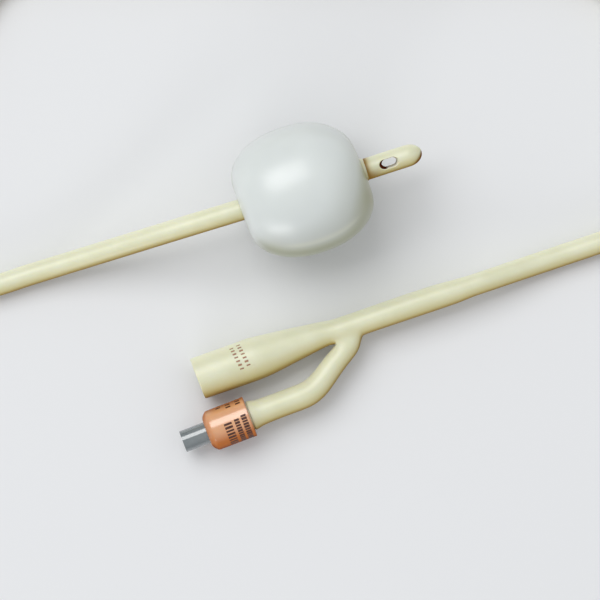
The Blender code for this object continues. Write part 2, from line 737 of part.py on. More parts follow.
def make_catheter():
    balloon_axis = axis_empty("balloon_axis", BALLOON_JOINT, BALLOON_AXIS_HEIGHT, BALLOON_HEADING)
    connector_axis = axis_empty(
        "connector_axis", CONNECTOR_JOINT, CONNECTOR_AXIS_HEIGHT, CONNECTOR_HEADING
    )
    arm_end = Vector((ARM_OFFSET, 0, ARM_BEND_END_AT)) + ARM_STRAIGHT * Vector(
        (math.sin(ARM_SPLAY), 0, math.cos(ARM_SPLAY))
    )
    valve_axis = bpy.data.objects.new("valve_axis", None)
    valve_axis.parent = connector_axis
    valve_axis.location = arm_end
    valve_axis.rotation_euler = (0, ARM_SPLAY, 0)
    PARTS.objects.link(valve_axis)
    make_shaft()
    make_balloon(balloon_axis)
    make_drainage_tip(balloon_axis)
    make_connector(connector_axis, valve_axis)
    make_sleeve(valve_axis)
    make_valve_body(valve_axis)
    make_valve_stem(valve_axis)
    make_seal_ring(valve_axis)
    make_spring(valve_axis)
    make_retainer(valve_axis)


clear_scene()
PARTS = new_collection("foley_urinary_catheter")
CUTTERS = new_collection("cutters")
LATEX_MATERIAL = make_material("latex", LATEX, 0.35)
BALLOON_MATERIAL = make_material("balloon_latex", BALLOON_LATEX, 0.3)
SLEEVE_MATERIAL = make_material("sleeve_orange", SLEEVE_ORANGE, 0.3)
VALVE_MATERIAL = make_material("valve_plastic", VALVE_GREY, 0.15)
STEM_MATERIAL = make_material("stem_plastic", STEM_WHITE, 0.4)
RING_MATERIAL = make_material("seal_rubber", RING_BLACK, 0.6)
STEEL_MATERIAL = make_material("spring_steel", STEEL, 0.3, 1.0)
make_catheter()
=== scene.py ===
"""Looks of a size 16 foley urinary catheter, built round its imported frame. Metres, +Z up.

The catheter lies on a pale table and is seen from straight above. Each CAD node is replaced by a
finer piece in the same place: the shaft's tube, the tip with its melted eyes, the water-filled
balloon, the Y connector, the printed sleeve, and the valve with its moving stem."""

import math

import bmesh
import bpy
from mathutils import Matrix, Vector
from mathutils.bvhtree import BVHTree


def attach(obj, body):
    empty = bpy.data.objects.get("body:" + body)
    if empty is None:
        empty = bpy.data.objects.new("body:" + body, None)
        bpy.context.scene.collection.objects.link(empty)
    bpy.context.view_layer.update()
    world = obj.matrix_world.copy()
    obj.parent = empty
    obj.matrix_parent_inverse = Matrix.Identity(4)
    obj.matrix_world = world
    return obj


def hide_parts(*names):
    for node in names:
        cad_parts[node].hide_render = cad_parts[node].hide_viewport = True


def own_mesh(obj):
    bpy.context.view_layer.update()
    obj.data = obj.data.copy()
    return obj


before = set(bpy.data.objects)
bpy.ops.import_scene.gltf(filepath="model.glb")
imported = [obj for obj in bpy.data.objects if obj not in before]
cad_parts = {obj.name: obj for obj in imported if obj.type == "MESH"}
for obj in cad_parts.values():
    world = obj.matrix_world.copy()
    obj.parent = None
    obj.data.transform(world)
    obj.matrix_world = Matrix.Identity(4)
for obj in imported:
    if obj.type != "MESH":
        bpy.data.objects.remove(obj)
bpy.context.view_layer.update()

# The photograph's frame: its side in pixels, the size of one pixel, and the world's origin in it
FRAME_PX = 600
PX = 0.0002468
ORIGIN_PX = (324.8, 287.45)
CAMERA_HEIGHT = 2.0
CAMERA_REACH = 10
SENSOR_MM = 36

# Gap between the CAD pieces that touch, and the common fillet of turned corners
GAP = 0.0003
FILLET = 0.0001

# Where the shaft enters the balloon and the Y connector, as the CAD has it
BALLOON_JOINT = (-0.0213, 0.01874)
BALLOON_HEADING = math.radians(18.0)
CONNECTOR_JOINT = (0.03492, -0.00001)
CONNECTOR_HEADING = math.radians(198.57)

# Shaft
SHAFT_RADIUS = 0.00267
SHAFT_SEAT = 0.002
SHAFT_POINT_SPACING = 0.0022
# How far before its end the shaft lies level, and how little below the axis it is there
LEVEL_STRETCH = 0.0035
LEVEL_DROP = 0.00001

# Balloon
BALLOON_RADIUS = 0.01617
BALLOON_HALF_LENGTH = 0.0165

# Drainage tip
TIP_RADIUS = 0.0027
TIP_LUMEN_RADIUS = 0.0015
TIP_REACH = 0.01424
NOSE_LENGTH = 0.0036
EYE_LENGTH = 0.0037
EYE_WIDTH = 0.0022
EYE_FROM_NOSE = 0.0084
EYE_ROLL = math.radians(8.5)
LUMEN_END_DEPTH = 0.0022
COLLAR_SEAT = 0.0015
# Height over the tip's axis, and how far an eye widens there towards nose, root and sides
EYE_SLOPES = [
    (2 * TIP_RADIUS, 0.0019, 0.0023, 0.00050),
    (TIP_RADIUS, 0.00045, 0.00080, 0.00012),
    (TIP_LUMEN_RADIUS, 0, 0, 0),
]

# Heights of the axes above the table
BALLOON_AXIS_HEIGHT = BALLOON_RADIUS
CONNECTOR_AXIS_HEIGHT = 0.0055

# Route of the shaft on the table, the same as the CAD's
ROUTE_FROM_BALLOON = [
    (-0.0271, 0.0170, 0.98),
    (-0.0380, 0.0137, 0.80),
    (-0.0500, 0.01005, 0.47),
    (-0.0620, 0.0064, 0.18),
    (-0.0720, 0.00335, 0.04),
]
ROUTE_ON_TABLE = [
    (-0.0840, -0.0003), (-0.0920, -0.0008), (-0.0993, 0.0018), (-0.1055, 0.0077),
    (-0.1087, 0.0159), (-0.1077, 0.0260), (-0.1020, 0.0375), (-0.0934, 0.0540),
    (-0.0865, 0.0665), (-0.0812, 0.0742), (-0.0750, 0.0777), (-0.0660, 0.0789),
    (-0.0400, 0.0790), (0.0000, 0.0790), (0.0350, 0.0790), (0.0545, 0.0789),
    (0.0628, 0.0776), (0.0690, 0.0740), (0.0732, 0.0690), (0.0757, 0.0620),
    (0.0798, 0.0485), (0.0838, 0.0360), (0.0849, 0.0270), (0.0828, 0.0200),
    (0.0785, 0.0149), (0.0722, 0.0126), (0.0665, 0.0106), (0.0605, 0.00859),
]
ROUTE_TO_CONNECTOR = [
    (0.0531, 0.00610, 0.12),
    (0.0457, 0.00362, 0.55),
    (0.0400, 0.00170, 0.92),
]

# Y connector, measured from the end where the shaft enters
NECK_LENGTH = 0.0365
CONE_LENGTH = 0.0175
CUP_LENGTH = 0.016
CUP_RADIUS = 0.0055
CUP_WALL = 0.0012
CUP_BORE_DRAFT = 0.0002
CUP_BORE_DEPTH = 0.0145
LUMEN_RADIUS = 0.00135
CONE_END_AT = NECK_LENGTH + CONE_LENGTH
MOUTH_AT = CONE_END_AT + CUP_LENGTH

# Inflation arm
ARM_RADIUS = 0.00315
ARM_OFFSET = 0.01254
ARM_BEND_END_AT = 0.049
ARM_STRAIGHT = 0.0114
ARM_SPLAY = math.radians(2.4)
ARM_FLARE_RADIUS = 0.00375
ARM_FLARE_LENGTH = 0.0035

# Spigot, sleeve and valve, measured from the arm's flare face outward
SPIGOT_RADIUS = 0.0035
SPIGOT_LENGTH = 0.0089
SLEEVE_RADIUS = 0.0051
SLEEVE_LENGTH = 0.0116
SLEEVE_LIP = 0.0013
SLEEVE_DOME_DEPTH = 0.0018
# How far the sleeve's front lies behind the CAD's
DOME_SHORTER = 0.0003
VALVE_MOUTH_RADIUS = 0.00275
VALVE_REACH = 0.006
VALVE_TAIL_RADIUS = 0.0024
VALVE_TAIL_LENGTH = 0.0104
VALVE_RIB_HEIGHT = 0.0002
VALVE_RIB_PITCH = 0.0019
VALVE_RIB_COUNT = 3
VALVE_FLANGE_RADIUS = 0.0035
LUER_MOUTH_RADIUS = 0.00215
LUER_TAPER = 0.03
SEAT_AT = 0.0097
SEAT_THICKNESS = 0.0012
SEAT_HOLE_RADIUS = 0.00125
CHAMBER_RADIUS = 0.00185
CRIMP_RADIUS = 0.00135
STEM_PIN_RADIUS = 0.00067
STEM_PIN_REACH = 0.003
STEM_HEAD_RADIUS = 0.0009
STEM_HEAD_LENGTH = 0.0012
PISTON_RADIUS = 0.00155
PISTON_THICKNESS = 0.00084
STEM_TAIL_RADIUS = 0.0006
RING_WIRE_RADIUS = 0.00033
SPRING_RADIUS = 0.00122
SPRING_WIRE_RADIUS = 0.00017
SPRING_TURNS = 6
# What the two flat end turns rise together, in wire radii
SPRING_END_RISE = 2.1
# The guide disc under the spring: its thickness, hole, notch width and notch count
RETAINER_THICKNESS = 0.001
RETAINER_HOLE_RADIUS = 0.00095
RETAINER_SLOT_WIDTH = 0.0006
RETAINER_SLOT_COUNT = 3

SLEEVE_START = GAP
SLEEVE_END = SLEEVE_START + SLEEVE_LENGTH
SLEEVE_BORE = SPIGOT_RADIUS + GAP
LIP_START = SLEEVE_END - SLEEVE_LIP
FLANGE_START = SPIGOT_LENGTH + GAP
FLANGE_END = LIP_START - GAP
VALVE_MOUTH_AT = SLEEVE_END + VALVE_REACH
VALVE_TAIL_AT = SPIGOT_LENGTH - VALVE_TAIL_LENGTH
ARM_BORE = VALVE_TAIL_RADIUS + VALVE_RIB_HEIGHT + GAP
ARM_BORE_BOTTOM = VALVE_TAIL_AT - GAP
SEAT_TOP = SEAT_AT + SEAT_THICKNESS
LUER_BOTTOM_RADIUS = LUER_MOUTH_RADIUS - LUER_TAPER * (VALVE_MOUTH_AT - SEAT_TOP)
CRIMP_TOP = VALVE_TAIL_AT + GAP
RETAINER_START = CRIMP_TOP + GAP
RETAINER_END = RETAINER_START + RETAINER_THICKNESS
RETAINER_RADIUS = CHAMBER_RADIUS - GAP
RING_RADIUS = STEM_PIN_RADIUS + GAP + RING_WIRE_RADIUS
RING_AT = SEAT_AT - GAP - RING_WIRE_RADIUS
PISTON_TOP = RING_AT - RING_WIRE_RADIUS - GAP
PISTON_BOTTOM = PISTON_TOP - PISTON_THICKNESS
STEM_TOP = SEAT_TOP + STEM_PIN_REACH
STEM_BOTTOM = RETAINER_END - GAP

BALLOON_LENGTH = 2 * BALLOON_HALF_LENGTH
TIP_END = BALLOON_LENGTH + TIP_REACH
EYE_AT = TIP_END - EYE_FROM_NOSE
TIP_SKIN_START = BALLOON_LENGTH - 0.004

# Balloon as the photograph shows it: fuller at the shoulders than the CAD's, drawn in at both ends
BALLOON_CENTRE_PX = (302.4, 190.3)
BALLOON_TILT = math.radians(18.8)
BALLOON_FULL_RADIUS = 0.01615
BALLOON_FULL_HALF_LENGTH = 0.01775
BALLOON_FULLNESS = 2.29
BALLOON_HOLLOW_DEPTH = 0.0021
BALLOON_HOLLOW_RADIUS = 0.0125
BALLOON_LEAN = -0.024
BALLOON_LIP_RADIUS = TIP_RADIUS + 0.00002
BALLOON_BORE_RADIUS = BALLOON_LIP_RADIUS - 0.0003
BALLOON_LIP_DEPTH = 0.0005
# Its upper side in the picture is leaner, most of all round one direction, in degrees from its far end
BALLOON_LEAN_SIDE = 0.00014
BALLOON_FLAT_DEPTH = 0.0005
BALLOON_FLAT_AT = 32
BALLOON_FLAT_SPREAD = 26
BALLOON_FLAT_FADE = 0.006

# Outside of the trunk: height along its axis, how far the ring's middle lies towards the arm, radius
TRUNK_RINGS = [
    (-0.0034, 0, 0.00256),
    (-0.0026, 0, 0.00263),
    (-0.0010, 0, 0.00268),
    (0.0006, 0, 0.00276),
    (0.0028, 0.00004, 0.00291),
    (0.0060, -0.00006, 0.00303),
    (0.0100, -0.00012, 0.00312),
    (0.0180, -0.00012, 0.00310),
    (0.0250, -0.00008, 0.00306),
    (0.0273, -0.00004, 0.00306),
    (0.0283, 0, 0.00308),
    (0.0315, 0, 0.00308),
    (0.0348, -0.00005, 0.00304),
    (0.0364, -0.00040, 0.00304),
    (0.0400, -0.00031, 0.00353),
    (0.0460, -0.00021, 0.00432),
    (0.0515, 0.00002, 0.00503),
    (0.0545, -0.00004, 0.00530),
    (0.0560, -0.00002, 0.00537),
    (0.0580, 0.00006, 0.00533),
    (0.0630, 0.00013, 0.00529),
    (MOUTH_AT - 0.0006, 0.00020, 0.00526),
    (MOUTH_AT, 0.00020, 0.00525),
]
# The arm joins at a hole between these rings
HOLE_ROW = 10
# The mouth is cut a little out of square, and the cup's inside lies a little towards the arm
MOUTH_SLANT = -0.048
MOUTH_SLANT_DEPTH = 0.001
CUP_SHIFT = 0.00014

# Sides of the arm in the plane of the Y, as (inner side), (outer side), and its radius across the plane
ARM_RINGS = [
    ((0.00350, 0.03575), (0.00565, 0.02955), 0.00268),
    ((0.00402, 0.03665), (0.00730, 0.03155), 0.00268),
    ((0.00505, 0.03845), (0.00910, 0.03450), 0.00275),
    ((0.00650, 0.04055), (0.01118, 0.03725), 0.00283),
    ((0.00755, 0.04215), (0.01258, 0.03905), 0.00290),
    ((0.00842, 0.04365), (0.01388, 0.04092), 0.00300),
    ((0.00905, 0.04520), (0.01492, 0.04300), 0.00306),
    ((0.00932, 0.04680), (0.01562, 0.04535), 0.00313),
    ((0.00938, 0.04860), (0.01576, 0.04838), 0.00316),
]

# Outline of the sleeve's domed front in mm: radius, and depth behind the front face
SLEEVE_DOME_MM = [
    (3.10, 0),
    (3.42, 0.06),
    (3.82, 0.22),
    (4.20, 0.46),
    (4.53, 0.74),
    (4.80, 1.02),
    (4.98, 1.27),
    (5.07, 1.47),
]

# Printed marks: how far they stand out and lie in, their widest step in radians, and where rays start
PRINT_PROUD = 0.000025
PRINT_DEPTH = 0.00004
PRINT_STEP = 0.12
PRINT_REACH = 0.02

# Bars on the sleeve. A row is its height and the bars' own in mm, then step, start and end in degrees
SLEEVE_ROWS = ((1.75, 1.35, 8, -9, 80), (3.65, 1.25, 8, -4, 78), (6.00, 2.00, 10, -2, 74))
SLEEVE_BAR_WIDTHS = (0.54, 0.6, 0.44)
SLEEVE_FAR_BARS = ((-65, 2.0), (-53, 2.0), (-65, 4.5), (-53, 4.5), (-65, 7.0))
SLEEVE_FAR_BAR_SIZE = (0.5, 1.25)

# Bars on the funnel. A row is its first turn in degrees and its height in mm, and it leans a little
STAMP_ROWS = ((-56, 57.9), (-52, 59.7))
STAMP_RADIUS = 0.0054
STAMP_BARS = 7
STAMP_PITCH = 11
STAMP_LEAN = 0.16
STAMP_BAR_WIDTHS = (0.36, 0.42, 0.48)
STAMP_BAR_HEIGHT = 0.96

# Sides and steps of the meshes
ROUTE_STEPS = 24
SHARP_ANGLE = math.radians(35)
SHAFT_SIDES = 40
BALLOON_SIDES = 160
BALLOON_STEPS = 96
TIP_SIDES = 64
NOSE_STEPS = 11
LUMEN_END_STEPS = 5
EYE_SIDES = 48
TIP_VOXEL = 0.0001
TIP_TUBE_SIDES = 48
SLEEVE_SIDES = 128
SLEEVE_DOME_SPACING = 0.00015
VALVE_SIDES = 96
STEM_SIDES = 64
RING_STEPS = 24
SPRING_STEPS = 28
SPRING_SIDES = 10
RETAINER_SIDES = 60
CAGE_SIDES = 8
# A cage shrinks when it is smoothed, so it starts larger
CAGE_GROWTH = 6 / (4 + 2 * math.cos(math.tau / CAGE_SIDES))

# Level directions away from the window, low on the right of the picture, and towards it
AWAY = (0.42, -0.9, 0.0)
TOWARDS = (-0.42, 0.9, 0.0)
NOSE_WARD = (0.95, -0.32, 0.0)
NOSE_LOW = (0.88, -0.1, 0.0)
UPWARD = (0, 0, 1)

# Colours of the latex, and the painted light and painted shade laid over it
LATEX_DARK = (0.7, 0.705, 0.49)
LATEX_PALE = (0.745, 0.752, 0.55)
LATEX_SPECK = (0.6, 0.52, 0.25)
LATEX_FLANK_PAINTED_LIGHT = (0.88, 0.885, 0.65)
LATEX_YELLOW_PAINTED_SHADE = (0.595, 0.505, 0.195)
LATEX_AMBER_PAINTED_SHADE = (0.45, 0.325, 0.085)
LATEX_BROWN_PAINTED_SHADE = (0.255, 0.145, 0.03)
NOSE_PAINTED_SHADE = (0.2, 0.085, 0.015)
ROOT_PAINTED_SHADE = (0.5, 0.33, 0.05)
SEAM_PAINTED_SHADOW = (0.24, 0.115, 0.015)
LOW_SIDE_PAINTED_SHADE = (0.4, 0.2, 0.03)
EYE_WALL_PAINTED_LIGHT = (0.8, 0.74, 0.66)
EYE_SHADE = (0.085, 0.014, 0.004)

# Colours of the balloon, with its painted shade and painted highlight line
BALLOON_GREY = (0.675, 0.715, 0.7)
BALLOON_MILK = (0.71, 0.75, 0.735)
BALLOON_RIGHT_PAINTED_SHADE = (0.52, 0.545, 0.48)
BALLOON_FAR_EDGE_PAINTED_SHADE = (0.265, 0.262, 0.105)
BALLOON_LOW_PAINTED_SHADE = (0.44, 0.46, 0.4)
BALLOON_OLIVE_PAINTED_SHADE = (0.3, 0.315, 0.2)
BALLOON_PAINTED_HIGHLIGHT_LINE = (0.7, 0.71, 0.58)
BALLOON_RIM_PAINTED_SHADE = (0.36, 0.38, 0.3)

# Colours of the sleeve, with its painted shade and painted shadow
ORANGE_DARK = (0.7, 0.335, 0.15)
ORANGE_PALE = (0.76, 0.38, 0.18)
ORANGE_BACK_PAINTED_SHADOW = (0.4, 0.13, 0.05)
ORANGE_FRONT_PAINTED_SHADE = (0.5, 0.19, 0.075)
ORANGE_UPPER_PAINTED_SHADE = (0.52, 0.27, 0.12)
ORANGE_AWAY_PAINTED_SHADE = (0.5, 0.15, 0.035)
ORANGE_TOWARDS_PAINTED_SHADE = (0.42, 0.15, 0.05)
ORANGE_EDGE_PAINTED_SHADE = (0.21, 0.045, 0.012)

# Floor and sky. The floor reaches past the top of a view from 3 degrees up
FLOOR_COLOUR = (0.79, 0.8, 0.815)
FLOOR_HALF_SIDE = 12.0
FLOOR_DROP = 0.0001
SKY_COLOUR = (0.98, 0.99, 1.0)
SKY_LOW = 0.42
SKY_HIGH = 0.68

# Lights: name, place, length, height, watts, and the direction of the long side
LIGHTS = (
    ("key_window", (-0.96, 1.01, 1.95), 2.0, 1.6, 30.0, (0.95, 0.32, 0)),
    ("front_strip", (-0.66, -1.84, 0.56), 1.2, 0.4, 7.0, (0.7, 0.71, 0)),
)


def from_px(x, y):
    """The point of the table under a pixel of the photograph."""
    return Vector(((x - ORIGIN_PX[0]) * PX, (ORIGIN_PX[1] - y) * PX, 0))


def link(thing):
    """The object, put in the scene."""
    bpy.context.scene.collection.objects.link(thing)
    return thing


def make_camera():
    """Straight above, far away, so that the photograph's pixels lie where they do in it."""
    data = bpy.data.cameras.new("camera")
    data.sensor_width = SENSOR_MM
    data.lens = data.sensor_width * CAMERA_HEIGHT / (FRAME_PX * PX)
    data.clip_end = CAMERA_REACH
    camera = link(bpy.data.objects.new("camera", data))
    camera.location = from_px(FRAME_PX / 2, FRAME_PX / 2) + Vector((0, 0, CAMERA_HEIGHT))
    bpy.context.scene.camera = camera


def smooth_route(points, spacing):
    """Evenly spaced points on a centripetal Catmull-Rom curve through the route's own points."""
    points = [Vector(p) for p in points]
    ends = [2 * points[0] - points[1], *points, 2 * points[-1] - points[-2]]
    fine = []
    for a, b, c, d in zip(ends, ends[1:], ends[2:], ends[3:]):
        t1 = (b - a).length ** 0.5
        t2 = t1 + (c - b).length ** 0.5
        t3 = t2 + (d - c).length ** 0.5
        for i in range(ROUTE_STEPS):
            t = t1 + (t2 - t1) * i / ROUTE_STEPS
            ab = a.lerp(b, t / t1)
            bc = b.lerp(c, (t - t1) / (t2 - t1))
            cd = c.lerp(d, (t - t2) / (t3 - t2))
            abc = ab.lerp(bc, t / t2)
            bcd = bc.lerp(cd, (t - t1) / (t3 - t1))
            fine.append(abc.lerp(bcd, (t - t1) / (t2 - t1)))
    fine.append(points[-1])
    lengths = [0]
    for a, b in zip(fine, fine[1:]):
        lengths.append(lengths[-1] + (b - a).length)
    count = round(lengths[-1] / spacing)
    spaced = []
    j = 0
    for i in range(count):
        want = lengths[-1] * i / count
        while lengths[j + 1] < want:
            j += 1
        share = (want - lengths[j]) / (lengths[j + 1] - lengths[j])
        spaced.append(fine[j].lerp(fine[j + 1], share))
    spaced.append(points[-1])
    return spaced


def shaft_path():
    """The shaft's centreline, from inside the balloon round to the connector's neck."""
    into_balloon = Vector((math.cos(BALLOON_HEADING), math.sin(BALLOON_HEADING)))
    into_connector = Vector((math.cos(CONNECTOR_HEADING), math.sin(CONNECTOR_HEADING)))
    start = Vector(BALLOON_JOINT) + SHAFT_SEAT * into_balloon
    end = Vector(CONNECTOR_JOINT) - GAP * into_connector
    route = [(*start, BALLOON_AXIS_HEIGHT)]
    for x, y, share in ROUTE_FROM_BALLOON:
        route.append((x, y, SHAFT_RADIUS + share * (BALLOON_AXIS_HEIGHT - SHAFT_RADIUS)))
    for x, y in ROUTE_ON_TABLE:
        route.append((x, y, SHAFT_RADIUS))
    for x, y, share in ROUTE_TO_CONNECTOR:
        route.append((x, y, SHAFT_RADIUS + share * (CONNECTOR_AXIS_HEIGHT - SHAFT_RADIUS)))
    level_from = end - LEVEL_STRETCH * into_connector
    route.append((*level_from, CONNECTOR_AXIS_HEIGHT - LEVEL_DROP))
    route.append((*end, CONNECTOR_AXIS_HEIGHT))
    path = smooth_route(route, SHAFT_POINT_SPACING)
    for point in path:
        point.z = max(point.z, SHAFT_RADIUS)
    return path


def add_ring(shape, centre, reach, side, up, count):
    """Vertices round a centre, from its side towards up."""
    ring = []
    for i in range(count):
        angle = math.tau * i / count
        outward = math.cos(angle) * side + math.sin(angle) * up
        ring.append(shape.verts.new(centre + reach * outward))
    return ring


def bridge(shape, first, second, skipped=()):
    """Faces between two rings, apart from the skipped ones."""
    for i in range(len(first)):
        if i not in skipped:
            j = (i + 1) % len(first)
            shape.faces.new((first[i], first[j], second[j], second[i]))


def closed_skin(name, shape, rings):
    """An object of rings joined in turn, with the first and the last one filled in."""
    for first, second in zip(rings, rings[1:]):
        bridge(shape, first, second)
    shape.faces.new(rings[0])
    shape.faces.new(rings[-1])
    return as_object(name, shape)


def tube(name, path, radius, sides):
    """A round rod along a line of points, closed at both ends."""
    shape = bmesh.new()
    steps = [(b - a).normalized() for a, b in zip(path, path[1:])]
    rings = []
    for point, before, after in zip(path, [steps[0], *steps], [*steps, steps[-1]]):
        along = (before + after).normalized()
        side = along.cross(Vector((0, 0, 1))).normalized()
        rings.append(add_ring(shape, point, radius, side, side.cross(along), sides))
    rod = closed_skin(name, shape, rings)
    rod.data.set_sharp_from_angle(angle=SHARP_ANGLE)
    return rod


def make_shaft():
    """The free run of latex tube between the balloon and the connector."""
    path = shaft_path()
    shaft = tube("shaft_tube", path, SHAFT_RADIUS, SHAFT_SIDES)
    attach(shaft, "catheter")
    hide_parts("shaft")
    return shaft


def dress(thing, material, nodes, body="catheter", at=None):
    """Gives a piece its place, its material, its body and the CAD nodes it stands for."""
    if at is not None:
        thing.matrix_world = at
    thing.data.materials.clear()
    thing.data.materials.append(material)
    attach(thing, body)
    if nodes:
        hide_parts(*nodes)
    return thing


def axis_matrix(at, height, heading):
    """A frame whose +Z runs along a level axis, with +Y up."""
    along = Vector((math.cos(heading), math.sin(heading), 0))
    up = Vector((0, 0, 1))
    turned_to = Matrix((up.cross(along), up, along)).transposed().to_4x4()
    return Matrix.Translation((*at, height)) @ turned_to


def rounded(corners, steps=5):
    """A line through corners of (radius, height), with a third value where the fillet isn't FILLET."""
    corners = [(*corner, FILLET)[:3] for corner in corners]
    line = []
    for i, (radius, height, fillet) in enumerate(corners):
        here = Vector((radius, height))
        if not fillet or i in (0, len(corners) - 1):
            line.append(here)
            continue
        before = Vector(corners[i - 1][:2]) - here
        after = Vector(corners[i + 1][:2]) - here
        half = before.angle(after) / 2
        reach = min(fillet / math.tan(half), 0.49 * before.length, 0.49 * after.length)
        start = here + reach * before.normalized()
        end = here + reach * after.normalized()
        for k in range(steps + 1):
            t = k / steps
            line.append(start.lerp(here, t).lerp(here.lerp(end, t), t))
    return line


def turned(name, line, steps, closed):
    """A line of (radius, height) turned round +Z, running down its outer side and up its inner one."""
    shape = bmesh.new()
    rings = []
    for radius, height in line:
        if radius < 1e-9:
            rings.append([shape.verts.new((0, 0, height))] * steps)
            continue
        ring = []
        for i in range(steps):
            angle = math.tau * i / steps
            ring.append(shape.verts.new((radius * math.cos(angle), radius * math.sin(angle), height)))
        rings.append(ring)
    pairs = list(zip(rings, rings[1:]))
    if closed:
        pairs.append((rings[-1], rings[0]))
    for first, second in pairs:
        for i in range(steps):
            j = (i + 1) % steps
            corners = []
            for vertex in (first[i], second[i], second[j], first[j]):
                if vertex not in corners:
                    corners.append(vertex)
            if len(corners) > 2:
                shape.faces.new(corners)
    thing = as_object(name, shape)
    thing.data.set_sharp_from_angle(angle=SHARP_ANGLE)
    return thing


def as_object(name, shape):
    """A smooth-shaded object with the shape as its mesh."""
    bmesh.ops.recalc_face_normals(shape, faces=shape.faces)
    for face in shape.faces:
        face.smooth = True
    mesh = bpy.data.meshes.new(name)
    shape.to_mesh(mesh)
    shape.free()
    return link(bpy.data.objects.new(name, mesh))


def applied(thing):
    """The object with its modifiers made part of its mesh."""
    graph = bpy.context.evaluated_depsgraph_get()
    mesh = bpy.data.meshes.new_from_object(thing.evaluated_get(graph))
    thing.modifiers.clear()
    thing.data = mesh
    return thing


# Frames of the balloon and its tip, of the connector, and of the valve and its sleeve. The arm's
# straight part is in the connector's frame
BALLOON_FRAME = axis_matrix(BALLOON_JOINT, BALLOON_AXIS_HEIGHT, BALLOON_HEADING)
CONNECTOR_FRAME = axis_matrix(CONNECTOR_JOINT, CONNECTOR_AXIS_HEIGHT, CONNECTOR_HEADING)
ARM_START = Vector((ARM_OFFSET, 0, ARM_BEND_END_AT))
ARM_ALONG = Vector((math.sin(ARM_SPLAY), 0, math.cos(ARM_SPLAY)))
ARM_END = ARM_START + ARM_STRAIGHT * ARM_ALONG
VALVE_FRAME = CONNECTOR_FRAME @ Matrix.Translation(ARM_END) @ Matrix.Rotation(ARM_SPLAY, 4, "Y")


class Nodes:
    """A small builder of procedural materials."""

    def __init__(self, name):
        self.material = bpy.data.materials.new(name)
        self.material.use_nodes = True
        self.tree = self.material.node_tree
        self.shader = self.tree.nodes["Principled BSDF"]
        self.place = self.add("ShaderNodeTexCoord", {})["Object"]

    def feed(self, node, key, value):
        """Gives an input of a node its value, or another node's output."""
        if isinstance(value, bpy.types.NodeSocket):
            self.tree.links.new(value, node.inputs[key])
        else:
            node.inputs[key].default_value = value

    def add(self, kind, inputs, **settings):
        """The outputs of a new node."""
        node = self.tree.nodes.new(kind)
        for key, value in settings.items():
            setattr(node, key, value)
        for key, value in inputs.items():
            self.feed(node, key, value)
        return node.outputs

    def set(self, **inputs):
        """Gives the shader its inputs, by their names with underscores."""
        for key, value in inputs.items():
            self.feed(self.shader, key.replace("_", " "), value)

    def noise(self, scale, detail=3.0):
        inputs = {"Vector": self.place, "Scale": scale, "Detail": detail}
        return self.add("ShaderNodeTexNoise", inputs)["Fac"]

    def parts(self):
        """The X, Y and Z of a point in the piece's own frame."""
        return self.add("ShaderNodeSeparateXYZ", {0: self.place})

    def between(self, value, low, high, low_to=0.0, high_to=1.0):
        """A value smoothly stretched from low..high to low_to..high_to."""
        inputs = {"Value": value, "From Min": low, "From Max": high, "To Min": low_to, "To Max": high_to}
        return self.add("ShaderNodeMapRange", inputs, interpolation_type="SMOOTHSTEP")["Result"]

    def paint(self, factor, colour):
        """Lays a colour over the surface's own, by a factor."""
        inputs = {0: factor, 6: self.base, 7: (*colour, 1)}
        self.base = self.add("ShaderNodeMix", inputs, data_type="RGBA")[2]
        self.set(Base_Color=self.base)

    def mottle(self, scale, detail, dark, light):
        """Makes the surface's own colour of two close ones in soft clouds."""
        self.base = (*dark, 1)
        self.paint(self.between(self.noise(scale, detail), 0.3, 0.7), light)

    def math(self, operation, first, second):
        return self.add("ShaderNodeMath", {0: first, 1: second}, operation=operation)[0]

    def times(self, first, second):
        return self.math("MULTIPLY", first, second)

    def without(self, value):
        """What a value leaves of 1."""
        return self.math("SUBTRACT", 1.0, value)

    def facing(self, direction):
        """How far the surface faces a fixed direction of the world, from -1 to 1."""
        inputs = {0: self.add("ShaderNodeNewGeometry", {})["Normal"], 1: Vector(direction).normalized()}
        return self.add("ShaderNodeVectorMath", inputs, operation="DOT_PRODUCT")["Value"]

    def rim(self, direction, steep, gentle, amount, near=0.15, full=0.55):
        """The band where the surface turns down to the table, on the side that faces a direction."""
        band = self.between(self.facing(UPWARD), steep, gentle, amount, 0.0)
        return self.times(band, self.between(self.facing(direction), near, full))

    def dull(self, direction, gloss):
        """Gloss that fades where the surface turns down on the side that faces a direction."""
        return self.times(self.without(self.rim(direction, 0.45, 0.85, 0.9)), gloss)

    def bump(self, height, distance):
        inputs = {"Height": height, "Distance": distance}
        self.set(Normal=self.add("ShaderNodeBump", inputs)["Normal"])


